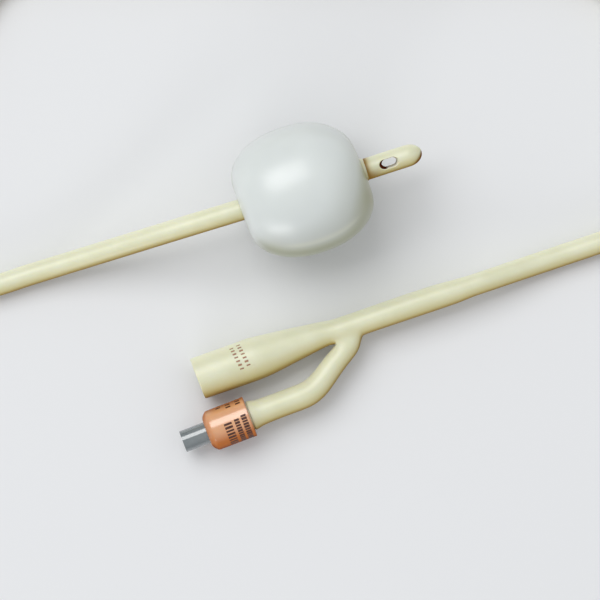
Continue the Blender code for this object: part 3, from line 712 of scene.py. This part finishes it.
def latex_nodes(name):
    """Natural latex: pale yellow-green, a little translucent, with painted light on the flank towards the
    window and painted shade, yellow to amber and brown, on the side and rim turned away.
    """
    made = Nodes(name)
    made.mottle(140.0, 4.0, LATEX_DARK, LATEX_PALE)
    made.paint(made.between(made.noise(900.0, 2.0), 0.6, 0.78, 0.0, 0.1), LATEX_SPECK)
    # Painted light: the flank that faces the window is painted paler.
    made.paint(made.rim(TOWARDS, 0.3, 0.9, 0.75, 0.1, 0.6), LATEX_FLANK_PAINTED_LIGHT)
    # Painted shade: the side turned away from the window is painted yellower, then amber and brown along the
    # rim where it turns down to the table.
    made.paint(made.between(made.facing(AWAY), 0.0, 0.85, 0.0, 0.78), LATEX_YELLOW_PAINTED_SHADE)
    made.paint(made.rim(AWAY, 0.36, 0.8, 0.86), LATEX_AMBER_PAINTED_SHADE)
    made.paint(made.rim(AWAY, 0.21, 0.6, 0.72), LATEX_BROWN_PAINTED_SHADE)
    made.bump(made.math("ADD", made.noise(600.0), made.times(made.noise(4200.0, 2.0), 0.25)), 0.00003)
    made.set(
        Roughness=0.42,
        IOR=1.5,
        Specular_IOR_Level=made.dull(AWAY, 0.5),
        Subsurface_Weight=0.2,
        Subsurface_Radius=(0.9, 0.7, 0.25),
        Subsurface_Scale=0.0008,
        Coat_Weight=made.dull(AWAY, 0.6),
        Coat_IOR=1.6,
        Coat_Roughness=0.35,
    )
    return made


def tip_material():
    """Latex with the tip's painted shade: brown nose, amber root and dark seam by the balloon, brown low
    side; painted light on the eyes' inner walls and painted shade at their root end.
    """
    made = latex_nodes("latex_tip_skin")
    # Painted shade: the nose is painted dark brown where it turns down on the side facing away.
    made.paint(made.rim(NOSE_WARD, 0.42, 0.86, 0.96, 0.58, 0.84), NOSE_PAINTED_SHADE)
    x, y, height = made.parts()
    across = made.math("ADD", made.math("POWER", x, 2), made.math("POWER", y, 2))
    across = made.math("POWER", across, 0.5)
    # Painted shade and shadow: amber round the root where the tip leaves the balloon, a dark seam line at
    # the joint, and brown along the low side.
    root = made.between(height, BALLOON_LENGTH - 0.0003, BALLOON_LENGTH + 0.002, 0.9, 0.0)
    made.paint(root, ROOT_PAINTED_SHADE)
    seam_shadow = made.between(height, BALLOON_LENGTH + 0.0001, BALLOON_LENGTH + 0.0009, 0.75, 0.0)
    made.paint(seam_shadow, SEAM_PAINTED_SHADOW)
    low = made.between(height, BALLOON_LENGTH + 0.0002, BALLOON_LENGTH + 0.0042, 0.75, 0.0)
    made.paint(made.times(low, made.between(made.facing(AWAY), 0.1, 0.8)), LOW_SIDE_PAINTED_SHADE)
    inside = made.times(
        made.between(across, TIP_RADIUS - 0.00035, TIP_RADIUS - 0.00008, 1.0, 0.0),
        made.between(height, EYE_AT + 0.0018, EYE_AT + 0.0022, 1.0, 0.0),
    )
    # Painted light: the eyes' inner walls and the lumen are painted pale; painted shade then darkens their
    # root end.
    made.paint(made.times(inside, 0.7), EYE_WALL_PAINTED_LIGHT)
    shade = made.between(height, EYE_AT - 0.0012, EYE_AT - 0.0004, 1.0, 0.0)
    made.paint(made.times(inside, shade), EYE_SHADE)
    gloss = made.times(made.dull(AWAY, 0.85), made.dull(NOSE_LOW, 1.0))
    gloss = made.times(gloss, made.without(inside))
    gloss = made.times(gloss, made.without(made.times(root, 0.8)))
    made.set(Coat_Weight=gloss, Specular_IOR_Level=made.times(gloss, 0.5))
    return made.material


def balloon_material():
    """Latex blown thin over water: milky blue-grey, with olive painted shade on the right, the low side and
    the rim, and a painted highlight line between.
    """
    made = Nodes("balloon_skin")
    made.mottle(60.0, 3.0, BALLOON_GREY, BALLOON_MILK)
    up = made.facing(UPWARD)
    below = made.between(made.facing((0.3, -0.95, 0.0)), 0.3, 0.78)
    right = made.facing((0.97, -0.24, 0.0))
    # Painted shade: the right side and its edge, the low side and the rim where the skin turns down are
    # painted olive and darker.
    made.paint(made.between(right, 0.15, 1.0, 0.0, 0.92), BALLOON_RIGHT_PAINTED_SHADE)
    made.paint(made.between(right, 0.6, 0.98, 0.0, 0.92), BALLOON_FAR_EDGE_PAINTED_SHADE)
    made.paint(made.times(made.between(up, 0.5, 0.97, 0.55, 0.0), below), BALLOON_LOW_PAINTED_SHADE)
    made.paint(made.times(made.between(up, 0.3, 0.58, 0.95, 0.0), below), BALLOON_OLIVE_PAINTED_SHADE)
    # Painted highlight: a pale line just inside the low rim.
    line = made.times(made.between(up, 0.49, 0.565), made.between(up, 0.565, 0.66, 0.4, 0.0))
    line = made.times(line, made.between(made.facing((0.38, -0.92, 0.0)), 0.66, 0.8))
    made.paint(line, BALLOON_PAINTED_HIGHLIGHT_LINE)
    made.paint(made.between(up, 0.04, 0.22, 0.45, 0.0), BALLOON_RIM_PAINTED_SHADE)
    made.bump(made.noise(350.0), 0.00002)
    made.set(
        Roughness=0.33,
        IOR=1.5,
        Subsurface_Weight=0.3,
        Subsurface_Radius=(1.0, 1.0, 0.9),
        Subsurface_Scale=0.002,
        Coat_Weight=0.85,
        Coat_IOR=1.6,
        Coat_Roughness=0.36,
    )
    return made.material


def sleeve_material():
    """Glossy orange plastic, a little translucent, with painted shade deepening its far sides, upper edge
    and front, and a painted shadow at its back end.
    """
    made = Nodes("sleeve_plastic")
    made.mottle(220.0, 3.0, ORANGE_DARK, ORANGE_PALE)
    height = made.parts()["Z"]
    # Painted shadow at the back end by the arm, and painted shade on the domed front.
    back = made.between(height, SLEEVE_START + 0.0001, SLEEVE_START + 0.0006, 0.55, 0.0)
    made.paint(back, ORANGE_BACK_PAINTED_SHADOW)
    front = made.between(height, SLEEVE_END - 0.0026, SLEEVE_END - 0.0002, 0.0, 0.85)
    made.paint(front, ORANGE_FRONT_PAINTED_SHADE)
    # Painted shade: the upper edge, the side away from the window and the rims on both sides are painted
    # deeper orange to brown.
    made.paint(made.between(made.facing((-0.358, 0.934, 0.0)), 0.7, 1.0, 0.0, 0.7), ORANGE_UPPER_PAINTED_SHADE)
    made.paint(made.between(made.facing(AWAY), 0.0, 0.8, 0.0, 0.9), ORANGE_AWAY_PAINTED_SHADE)
    made.paint(made.rim(TOWARDS, 0.25, 0.6, 0.85), ORANGE_TOWARDS_PAINTED_SHADE)
    made.paint(made.rim(AWAY, 0.12, 0.6, 0.85), ORANGE_EDGE_PAINTED_SHADE)
    gloss = made.without(made.rim(AWAY, 0.7, 0.99, 0.98, 0.02, 0.3))
    gloss = made.times(gloss, made.without(made.rim(TOWARDS, 0.35, 0.75, 0.9)))
    gloss = made.times(gloss, made.without(made.times(front, 0.8)))
    made.bump(made.noise(1500.0, 2.0), 0.00002)
    made.set(
        Roughness=0.25,
        Specular_IOR_Level=made.times(gloss, 0.5),
        Subsurface_Weight=0.1,
        Subsurface_Radius=(1.0, 0.4, 0.15),
        Subsurface_Scale=0.0006,
        Coat_Weight=gloss,
        Coat_IOR=1.8,
        Coat_Roughness=0.17,
    )
    return made.material


def valve_material():
    """Smoke-grey moulded plastic that lets some light through."""
    made = Nodes("valve_clear_plastic")
    made.mottle(300.0, 3.0, (0.185, 0.225, 0.24), (0.245, 0.285, 0.3))
    made.set(
        Roughness=0.12,
        IOR=1.53,
        Transmission_Weight=0.35,
        Coat_Weight=1.0,
        Coat_IOR=2.0,
        Coat_Roughness=0.05,
    )
    made.bump(made.noise(2000.0, 2.0), 0.00001)
    return made.material


def plain_material(name, dark, light, scale, roughness, metallic=0.0):
    """A moulded or drawn surface of two close colours, with a fine grain."""
    made = Nodes(name)
    made.mottle(scale, 3.0, dark, light)
    made.set(Roughness=roughness, Metallic=metallic)
    made.bump(made.noise(scale * 6, 2.0), 0.00001)
    return made.material


def make_balloon(material):
    """A turned superellipse leaned a little, drawn in round the tube, with a small lip at each end."""
    power = 2 / BALLOON_FULLNESS
    start = math.acos((BALLOON_LIP_RADIUS / BALLOON_FULL_RADIUS) ** (1 / power))
    line = []
    for i in range(BALLOON_STEPS + 1):
        angle = start * (1 - 2 * i / BALLOON_STEPS)
        radius = BALLOON_FULL_RADIUS * math.cos(angle) ** power
        share = min(1, radius / BALLOON_HOLLOW_RADIUS)
        hollow = BALLOON_HOLLOW_DEPTH * (1 + math.cos(math.pi * share)) / 2
        reach = BALLOON_FULL_HALF_LENGTH * abs(math.sin(angle)) ** power - hollow
        line.append((radius, math.copysign(reach, angle)))
    bore = [
        (BALLOON_BORE_RADIUS, line[-1][1] + BALLOON_LIP_DEPTH),
        (BALLOON_BORE_RADIUS, line[0][1] - BALLOON_LIP_DEPTH),
    ]
    balloon = turned("balloon_skin", line + bore, BALLOON_SIDES, True)
    for vertex in balloon.data.vertices:
        angle = math.degrees(math.atan2(vertex.co.x, vertex.co.z))
        reach = math.hypot(vertex.co.x, vertex.co.z)
        off = (angle - BALLOON_FLAT_AT) / BALLOON_FLAT_SPREAD
        drawn_in = BALLOON_FLAT_DEPTH * math.exp(-(off**2))
        if 0 < angle < 180:
            drawn_in += BALLOON_LEAN_SIDE * math.sin(math.radians(angle)) ** 2
        shrink = 1 - drawn_in / BALLOON_FULL_RADIUS * min(1, reach / BALLOON_FLAT_FADE)
        vertex.co.x *= shrink
        vertex.co.z *= shrink
        vertex.co.z += BALLOON_LEAN * vertex.co.x
    centre = from_px(*BALLOON_CENTRE_PX)
    place = axis_matrix(centre.xy, BALLOON_FULL_RADIUS, BALLOON_TILT)
    return dress(balloon, material, ["balloon"], at=place)


def eye_cutter():
    """A stadium-shaped cutter through both walls: steep towards the nose, sloping towards the root."""
    levels = list(EYE_SLOPES)
    for height, *slopes in reversed(EYE_SLOPES):
        levels.append((-height, *slopes))
    shape = bmesh.new()
    rings = []
    for height, nose_slope, root_slope, side_slope in levels:
        ring = []
        for i in range(EYE_SIDES):
            angle = math.tau * (i + 0.5) / EYE_SIDES
            slope = nose_slope if math.cos(angle) > 0 else root_slope
            run = (EYE_LENGTH - EYE_WIDTH) / 2 + slope
            along = math.copysign(run, math.cos(angle)) + EYE_WIDTH / 2 * math.cos(angle)
            half_width = EYE_WIDTH / 2 + side_slope
            ring.append(shape.verts.new((half_width * math.sin(angle), height, along)))
        rings.append(ring)
    return closed_skin("eye_cut", shape, rings)


def make_tip(material):
    """The tube from just inside the balloon to the round nose, with a lumen and two melted eyes."""
    nose_at = TIP_END - NOSE_LENGTH
    line = [Vector((0, TIP_END))]
    for i in range(1, NOSE_STEPS + 1):
        angle = math.pi / 2 * (1 - i / NOSE_STEPS)
        line.append(Vector((TIP_RADIUS * math.cos(angle), nose_at + NOSE_LENGTH * math.sin(angle))))
    line += [Vector((TIP_RADIUS, TIP_SKIN_START)), Vector((TIP_LUMEN_RADIUS, TIP_SKIN_START))]
    top = TIP_END - LUMEN_END_DEPTH
    for i in range(LUMEN_END_STEPS + 1):
        angle = math.pi / 2 * i / LUMEN_END_STEPS
        below = TIP_LUMEN_RADIUS * (1 - math.sin(angle))
        line.append(Vector((TIP_LUMEN_RADIUS * math.cos(angle), top - below)))
    line[-1].x = 0
    tip = turned("drainage_tip_skin", line, TIP_SIDES, False)
    cutter = eye_cutter()
    cutter.matrix_world = Matrix.Translation((0, 0, EYE_AT)) @ Matrix.Rotation(EYE_ROLL, 4, "Z")
    cut = tip.modifiers.new("eyes", "BOOLEAN")
    cut.object = cutter
    skin = tip.modifiers.new("skin", "REMESH")
    skin.voxel_size = TIP_VOXEL
    soft = tip.modifiers.new("soft", "SMOOTH")
    soft.factor = 0.5
    soft.iterations = 4
    applied(tip)
    bpy.data.objects.remove(cutter, do_unlink=True)
    for face in tip.data.polygons:
        face.use_smooth = True
    return dress(tip, material, ["drainage_tip"], at=BALLOON_FRAME)


def make_collar(material):
    """The thickened latex where the balloon is bonded to the tip, at the balloon's far end."""
    base = BALLOON_LENGTH - COLLAR_SEAT
    corners = [
        (TIP_RADIUS - 0.0001, base, 0),
        (TIP_RADIUS - 0.0001, BALLOON_LENGTH, 0),
        (TIP_RADIUS + 0.00006, BALLOON_LENGTH - 0.0001),
        (TIP_RADIUS + 0.00045, base + 0.0003, 0.0004),
        (TIP_RADIUS + 0.0009, base, 0),
    ]
    collar = turned("balloon_collar", rounded(corners), TIP_SIDES, True)
    return dress(collar, material, [], at=BALLOON_FRAME)


def make_tip_tube(material):
    """The plain tube that runs through the balloon, between the shaft's end and the tip's skin."""
    start = SHAFT_SEAT + GAP
    end = TIP_SKIN_START - 0.0001
    corners = [
        (TIP_LUMEN_RADIUS, end, 0),
        (TIP_RADIUS, end),
        (TIP_RADIUS, start),
        (TIP_LUMEN_RADIUS, start, 0),
    ]
    inner = turned("tip_tube_in_balloon", rounded(corners), TIP_TUBE_SIDES, True)
    return dress(inner, material, [], at=BALLOON_FRAME)


def inner_rings():
    """Height and radius of each ring of the connector's inside, from the mouth down to the neck's end."""
    bore = CUP_RADIUS - CUP_WALL
    bottom = MOUTH_AT - CUP_BORE_DEPTH
    lumen_top = bottom - (bore - LUMEN_RADIUS) * 2.6
    return [
        (MOUTH_AT, bore),
        (MOUTH_AT - 0.0008, bore),
        ((MOUTH_AT + bottom) / 2, bore - CUP_BORE_DRAFT / 2),
        (bottom + 0.0008, bore - CUP_BORE_DRAFT),
        (bottom - 0.0008, bore - CUP_BORE_DRAFT - 0.0003),
        (lumen_top, LUMEN_RADIUS),
        (lumen_top - 0.002, LUMEN_RADIUS),
        (lumen_top / 2, LUMEN_RADIUS),
        (0.002, LUMEN_RADIUS),
        (0.0015, LUMEN_RADIUS * 0.8),
    ]


def spigot_rings():
    """Centre and radius of the rings from the arm's straight part to the valve's pocket."""
    flare = ARM_STRAIGHT - ARM_FLARE_LENGTH
    outward = [
        (0.5 * flare, ARM_RADIUS),
        (flare, ARM_RADIUS * 1.02),
        (ARM_STRAIGHT - 0.0018, ARM_RADIUS * 1.06),
        (ARM_STRAIGHT - 0.0003, ARM_FLARE_RADIUS),
        (ARM_STRAIGHT, ARM_FLARE_RADIUS - 0.00005),
        (ARM_STRAIGHT, SPIGOT_RADIUS + 0.00005),
        (ARM_STRAIGHT + 0.0003, SPIGOT_RADIUS),
        (ARM_STRAIGHT + SPIGOT_LENGTH - 0.0004, SPIGOT_RADIUS),
        (ARM_STRAIGHT + SPIGOT_LENGTH, SPIGOT_RADIUS),
        (ARM_STRAIGHT + SPIGOT_LENGTH, ARM_BORE),
        (ARM_STRAIGHT + SPIGOT_LENGTH - 0.0004, ARM_BORE),
        (ARM_STRAIGHT + ARM_BORE_BOTTOM, ARM_BORE),
        (ARM_STRAIGHT + ARM_BORE_BOTTOM, 0.0015),
    ]
    return [(ARM_START + height * ARM_ALONG, radius) for height, radius in outward]


def cage_ring(shape, centre, side, up):
    """One ring of the connector's cage."""
    return add_ring(shape, centre, CAGE_GROWTH, side, up, CAGE_SIDES)


def make_connector(material):
    """One smooth skin: neck, funnel and its inside, and the arm stitched to a hole in the neck."""
    shape = bmesh.new()
    side = Vector((1, 0, 0))
    up = Vector((0, 1, 0))
    main = []
    trunk = list(TRUNK_RINGS)
    for height, radius in inner_rings():
        trunk.append((height, CUP_SHIFT if height > CONE_END_AT else 0, radius))
    for height, shift, radius in trunk:
        slant = Vector((0, 0, MOUTH_SLANT if height > MOUTH_AT - MOUTH_SLANT_DEPTH else 0))
        main.append(cage_ring(shape, Vector((shift, 0, height)), radius * (side + slant), radius * up))
    shape.faces.new(main[0])
    shape.faces.new(main[-1])
    for row, (first, second) in enumerate(zip(main, main[1:])):
        at_hole = row in (HOLE_ROW, HOLE_ROW + 1)
        bridge(shape, first, second, (0, CAGE_SIDES - 1) if at_hole else ())
    low, middle, high = main[HOLE_ROW : HOLE_ROW + 3]
    shape.verts.remove(middle[0])
    rim = [low[0], low[1], middle[1], high[1], high[0], high[-1], middle[-1], low[-1]]
    arm = []
    for inner, outer, radius in ARM_RINGS:
        inner = Vector((inner[0], 0, inner[1]))
        outer = Vector((outer[0], 0, outer[1]))
        arm.append(cage_ring(shape, (inner + outer) / 2, (outer - inner) / 2, radius * up))
    across = Vector((math.cos(ARM_SPLAY), 0, -math.sin(ARM_SPLAY)))
    for centre, radius in spigot_rings():
        arm.append(cage_ring(shape, centre, radius * across, radius * up))
    for first, second in zip([rim, *arm], arm):
        bridge(shape, first, second)
    shape.faces.new(arm[-1])
    connector = as_object("y_connector_skin", shape)
    smooth = connector.modifiers.new("smooth", "SUBSURF")
    smooth.levels = 3
    smooth.render_levels = 3
    applied(connector)
    return dress(connector, material, ["y_connector"], at=CONNECTOR_FRAME)


def print_marks(name, target, cells, material):
    """Printed bars on a round piece: a cell is (turn from, turn to, height from, height to) in its frame."""
    tree = BVHTree.FromPolygons(
        [v.co for v in target.data.vertices], [p.vertices for p in target.data.polygons]
    )
    shape = bmesh.new()
    for turn_from, turn_to, height_from, height_to in cells:
        steps = max(2, round(abs(turn_to - turn_from) / PRINT_STEP))
        rows = []
        for height in (height_from, (height_from + height_to) / 2, height_to):
            row = []
            for i in range(steps + 1):
                turn = turn_from + (turn_to - turn_from) * i / steps
                out = Vector((math.sin(turn), math.cos(turn), 0))
                hit = tree.ray_cast(Vector((0, 0, height)) + PRINT_REACH * out, -out)[0]
                over = shape.verts.new(hit + PRINT_PROUD * out)
                under = shape.verts.new(hit - PRINT_DEPTH * out)
                row.append((over, under))
            rows.append(row)
        for side in (0, 1):
            for first, second in zip(rows, rows[1:]):
                for a, b, c, d in zip(first, first[1:], second[1:], second):
                    shape.faces.new((a[side], b[side], c[side], d[side]))
        edge = [*rows[0], rows[1][steps], *reversed(rows[2]), rows[1][0]]
        for first, second in zip(edge, edge[1:] + edge[:1]):
            shape.faces.new((first[0], first[1], second[1], second[0]))
    marks = as_object(name, shape)
    for face in marks.data.polygons:
        face.use_smooth = False
    return dress(marks, material, [], at=target.matrix_world)


def bar(turn, height, wide, tall, radius):
    """The cell of a bar with its middle at a turn in degrees and a height in mm, its size in mm."""
    middle = math.radians(turn)
    half = wide / 2 / (radius * 1000)
    return middle - half, middle + half, (height - tall / 2) / 1000, (height + tall / 2) / 1000


def sleeve_cells():
    """Rows of plain bars in the print's place, because its words aren't copied."""
    cells = []
    for height, tall, step, start, end in SLEEVE_ROWS:
        for k, turn in enumerate(range(start, end, step)):
            cells.append(bar(turn, height, SLEEVE_BAR_WIDTHS[k % 3], tall, SLEEVE_RADIUS))
    for turn, height in SLEEVE_FAR_BARS:
        cells.append(bar(turn, height, *SLEEVE_FAR_BAR_SIZE, SLEEVE_RADIUS))
    return cells


def funnel_cells():
    """Two short rows of plain bars in the stamp's place, because its words aren't copied."""
    cells = []
    for first, height in STAMP_ROWS:
        for k in range(STAMP_BARS):
            wide = STAMP_BAR_WIDTHS[k % 3]
            turn = first + STAMP_PITCH * k
            cells.append(bar(turn, height - STAMP_LEAN * k, wide, STAMP_BAR_HEIGHT, STAMP_RADIUS))
    return cells


def make_sleeve(material):
    """A cup over the spigot: domed front with a hole for the valve, and a slightly flared back rim."""
    hole = VALVE_MOUTH_RADIUS + 0.0001
    face = SLEEVE_END - DOME_SHORTER
    line = [(hole, LIP_START + 0.0002), (hole, face - 0.0002), (hole + 0.0001, face)]
    dome = [Vector((radius, depth, 0)) / 1000 for radius, depth in SLEEVE_DOME_MM]
    dome.append(Vector((SLEEVE_RADIUS, SLEEVE_DOME_DEPTH, 0)))
    for point in smooth_route(dome, SLEEVE_DOME_SPACING):
        line.append((point.x, face - point.y))
    line += [
        (SLEEVE_RADIUS, SLEEVE_END - 0.003),
        (SLEEVE_RADIUS, SLEEVE_START + 0.0012),
        (SLEEVE_RADIUS + 0.00005, SLEEVE_START + 0.0006),
        (SLEEVE_RADIUS + 0.00008, SLEEVE_START + 0.0003),
        (SLEEVE_RADIUS + 0.00004, SLEEVE_START + 0.00008),
        (SLEEVE_RADIUS - 0.0001, SLEEVE_START),
        (SLEEVE_BORE + 0.0002, SLEEVE_START),
        (SLEEVE_BORE, SLEEVE_START + 0.0002),
        (SLEEVE_BORE, LIP_START - 0.0002),
        (SLEEVE_BORE - 0.0002, LIP_START),
        (hole + 0.0002, LIP_START),
    ]
    sleeve = turned("sleeve_skin", line, SLEEVE_SIDES, True)
    return dress(sleeve, material, ["valve_sleeve"], at=VALVE_FRAME)


def make_valve_body(material):
    """Luer socket, flange and ribbed tail outside; socket, seat, chamber and crimp inside."""
    rib = VALVE_TAIL_RADIUS + VALVE_RIB_HEIGHT
    corners = [
        (VALVE_MOUTH_RADIUS, VALVE_MOUTH_AT, 0.00015),
        (VALVE_MOUTH_RADIUS, FLANGE_END, 0),
        (VALVE_FLANGE_RADIUS, FLANGE_END),
        (VALVE_FLANGE_RADIUS, FLANGE_START),
        (VALVE_TAIL_RADIUS, FLANGE_START, 0),
    ]
    for i in range(VALVE_RIB_COUNT):
        top = FLANGE_START - VALVE_RIB_PITCH * (i + 1)
        corners += [
            (VALVE_TAIL_RADIUS, top + GAP, 0),
            (rib, top),
            (VALVE_TAIL_RADIUS, top - 2 * GAP, 0),
        ]
    corners += [
        (VALVE_TAIL_RADIUS, VALVE_TAIL_AT),
        (CRIMP_RADIUS, VALVE_TAIL_AT, 0.00005),
        (CRIMP_RADIUS, CRIMP_TOP, 0.00005),
        (CHAMBER_RADIUS, CRIMP_TOP, 0.00005),
        (CHAMBER_RADIUS, SEAT_AT),
        (SEAT_HOLE_RADIUS, SEAT_AT),
        (SEAT_HOLE_RADIUS, SEAT_TOP),
        (LUER_BOTTOM_RADIUS, SEAT_TOP, 0.0002),
        (LUER_MOUTH_RADIUS, VALVE_MOUTH_AT - 0.0002, 0),
        (LUER_MOUTH_RADIUS + 0.00015, VALVE_MOUTH_AT, 0),
    ]
    valve = turned("valve_body_skin", rounded(corners, 4), VALVE_SIDES, True)
    return dress(valve, material, ["valve_body"], at=VALVE_FRAME)


def make_stem(material):
    """The plunger: head, pin through the seat, piston and tail."""
    corners = [
        (0, STEM_TOP, 0),
        (STEM_HEAD_RADIUS, STEM_TOP, 0.0002),
        (STEM_HEAD_RADIUS, STEM_TOP - STEM_HEAD_LENGTH),
        (STEM_PIN_RADIUS, STEM_TOP - STEM_HEAD_LENGTH - GAP),
        (STEM_PIN_RADIUS, PISTON_TOP),
        (PISTON_RADIUS, PISTON_TOP),
        (PISTON_RADIUS, PISTON_BOTTOM),
        (STEM_TAIL_RADIUS, PISTON_BOTTOM),
        (STEM_TAIL_RADIUS, STEM_BOTTOM),
        (0, STEM_BOTTOM, 0),
    ]
    stem = turned("valve_stem_skin", rounded(corners, 4), STEM_SIDES, False)
    return dress(stem, material, ["valve_stem"], "valve_stem", at=VALVE_FRAME)


def make_seal_ring(material):
    """The ring round the stem's pin, between piston and seat."""
    line = []
    for i in range(RING_STEPS):
        angle = -math.tau * i / RING_STEPS
        radius = RING_RADIUS + RING_WIRE_RADIUS * math.cos(angle)
        line.append((radius, RING_AT + RING_WIRE_RADIUS * math.sin(angle)))
    ring = turned("valve_seal_ring_skin", line, STEM_SIDES, True)
    return dress(ring, material, ["valve_seal_ring"], "valve_stem", at=VALVE_FRAME)


def make_spring(material):
    """The coil: its end turns lie flat."""
    bottom = RETAINER_END + GAP / 2 + SPRING_WIRE_RADIUS
    top = PISTON_BOTTOM - GAP / 2 - SPRING_WIRE_RADIUS
    count = SPRING_TURNS * SPRING_STEPS
    wire = SPRING_END_RISE * SPRING_WIRE_RADIUS
    points = []
    for i in range(count + 1):
        angle = math.tau * i / SPRING_STEPS
        turns = i / SPRING_STEPS
        share = min(1, max(0, (turns - 1) / (SPRING_TURNS - 2)))
        height = bottom + wire * min(1, turns) * 0.5 + wire * max(0, turns - SPRING_TURNS + 1) * 0.5
        height += (top - bottom - wire) * share
        points.append(Vector((SPRING_RADIUS * math.cos(angle), SPRING_RADIUS * math.sin(angle), height)))
    shape = bmesh.new()
    rings = []
    for i, point in enumerate(points):
        along = (points[min(i + 1, count)] - points[max(i - 1, 0)]).normalized()
        out = Vector((point.x, point.y, 0)).normalized()
        across = along.cross(out).normalized()
        rings.append(add_ring(shape, point, SPRING_WIRE_RADIUS, out, across, SPRING_SIDES))
    spring = closed_skin("valve_spring_skin", shape, rings)
    spring.data.transform(VALVE_FRAME)
    dress(spring, material, ["valve_spring"])
    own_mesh(spring)
    return spring


def make_retainer(material):
    """The guide disc: a hole for the stem's tail, and three notches that let the water by."""
    corners = [
        (RETAINER_HOLE_RADIUS, RETAINER_END),
        (RETAINER_RADIUS, RETAINER_END),
        (RETAINER_RADIUS, RETAINER_START),
        (RETAINER_HOLE_RADIUS, RETAINER_START),
    ]
    disc = turned("valve_retainer_skin", rounded(corners, 3), RETAINER_SIDES, True)
    slot_size = (RETAINER_RADIUS, RETAINER_SLOT_WIDTH, 3 * RETAINER_THICKNESS)
    reach = RETAINER_RADIUS + GAP
    middle = (RETAINER_START + RETAINER_END) / 2
    for i in range(RETAINER_SLOT_COUNT):
        angle = math.tau * (i + 0.25) / RETAINER_SLOT_COUNT
        shape = bmesh.new()
        bmesh.ops.create_cube(shape, size=1)
        bmesh.ops.scale(shape, vec=slot_size, verts=shape.verts)
        slot = as_object("slot_cut", shape)
        slot.location = (reach * math.cos(angle), reach * math.sin(angle), middle)
        slot.rotation_euler = (0, 0, angle)
        cut = disc.modifiers.new("slot", "BOOLEAN")
        cut.object = slot
        applied(disc)
        bpy.data.objects.remove(slot, do_unlink=True)
    return dress(disc, material, ["valve_retainer"], at=VALVE_FRAME)


def make_floor():
    """The pale table, a hair below the object."""
    shape = bmesh.new()
    bmesh.ops.create_grid(shape, x_segments=1, y_segments=1, size=FLOOR_HALF_SIDE)
    floor = as_object("floor", shape)
    floor.location = (0, 0, -FLOOR_DROP)
    made = Nodes("floor")
    made.set(Base_Color=(*FLOOR_COLOUR, 1), Roughness=0.9)
    floor.data.materials.append(made.material)


def area_light(name, at, size, height, energy, along):
    """A rectangular light that faces the origin, with its long side along a direction."""
    data = bpy.data.lights.new(name, "AREA")
    data.energy = energy
    data.shape = "RECTANGLE"
    data.size = size
    data.size_y = height
    lamp = link(bpy.data.objects.new(name, data))
    back = Vector(at).normalized()
    across = (Vector(along) - back.dot(Vector(along)) * back).normalized()
    turned_to = Matrix((across, back.cross(across), back)).transposed().to_4x4()
    lamp.matrix_world = Matrix.Translation(at) @ turned_to


def make_lights():
    """A pale sky that dims towards the horizon, a window high on the left, a low strip in front."""
    world = bpy.data.worlds.new("studio")
    bpy.context.scene.world = world
    world.use_nodes = True
    tree = world.node_tree
    place = tree.nodes.new("ShaderNodeTexCoord")
    parts = tree.nodes.new("ShaderNodeSeparateXYZ")
    dim = tree.nodes.new("ShaderNodeMapRange")
    dim.inputs["To Min"].default_value = SKY_LOW
    dim.inputs["To Max"].default_value = SKY_HIGH
    background = tree.nodes["Background"]
    tree.links.new(place.outputs["Generated"], parts.inputs[0])
    tree.links.new(parts.outputs["Z"], dim.inputs["Value"])
    tree.links.new(dim.outputs["Result"], background.inputs["Strength"])
    background.inputs["Color"].default_value = (*SKY_COLOUR, 1)
    for light in LIGHTS:
        area_light(*light)


make_camera()
SHAFT = make_shaft()
LATEX = latex_nodes("latex_skin").material
make_tip(tip_material())
make_tip_tube(LATEX)
make_collar(LATEX)
make_balloon(balloon_material())
CONNECTOR = make_connector(LATEX)
SLEEVE = make_sleeve(sleeve_material())
INK = plain_material("print_ink", (0.045, 0.012, 0.006), (0.1, 0.03, 0.015), 3000.0, 0.5)
print_marks("sleeve_print", SLEEVE, sleeve_cells(), INK)
STAMP = plain_material("stamp_ink", (0.27, 0.12, 0.065), (0.42, 0.24, 0.14), 2500.0, 0.5)
print_marks("funnel_stamp", CONNECTOR, funnel_cells(), STAMP)
make_valve_body(valve_material())
PALE = plain_material("stem_plastic", (0.74, 0.74, 0.72), (0.82, 0.82, 0.8), 800.0, 0.4)
make_stem(PALE)
make_retainer(PALE)
make_seal_ring(plain_material("seal_rubber", (0.035, 0.035, 0.035), (0.06, 0.06, 0.06), 900.0, 0.6))
make_spring(plain_material("spring_steel", (0.52, 0.52, 0.52), (0.64, 0.64, 0.63), 1500.0, 0.3, 1.0))
SHAFT.data.materials.append(LATEX)
make_floor()
make_lights()
bpy.context.scene.view_settings.view_transform = "Standard"
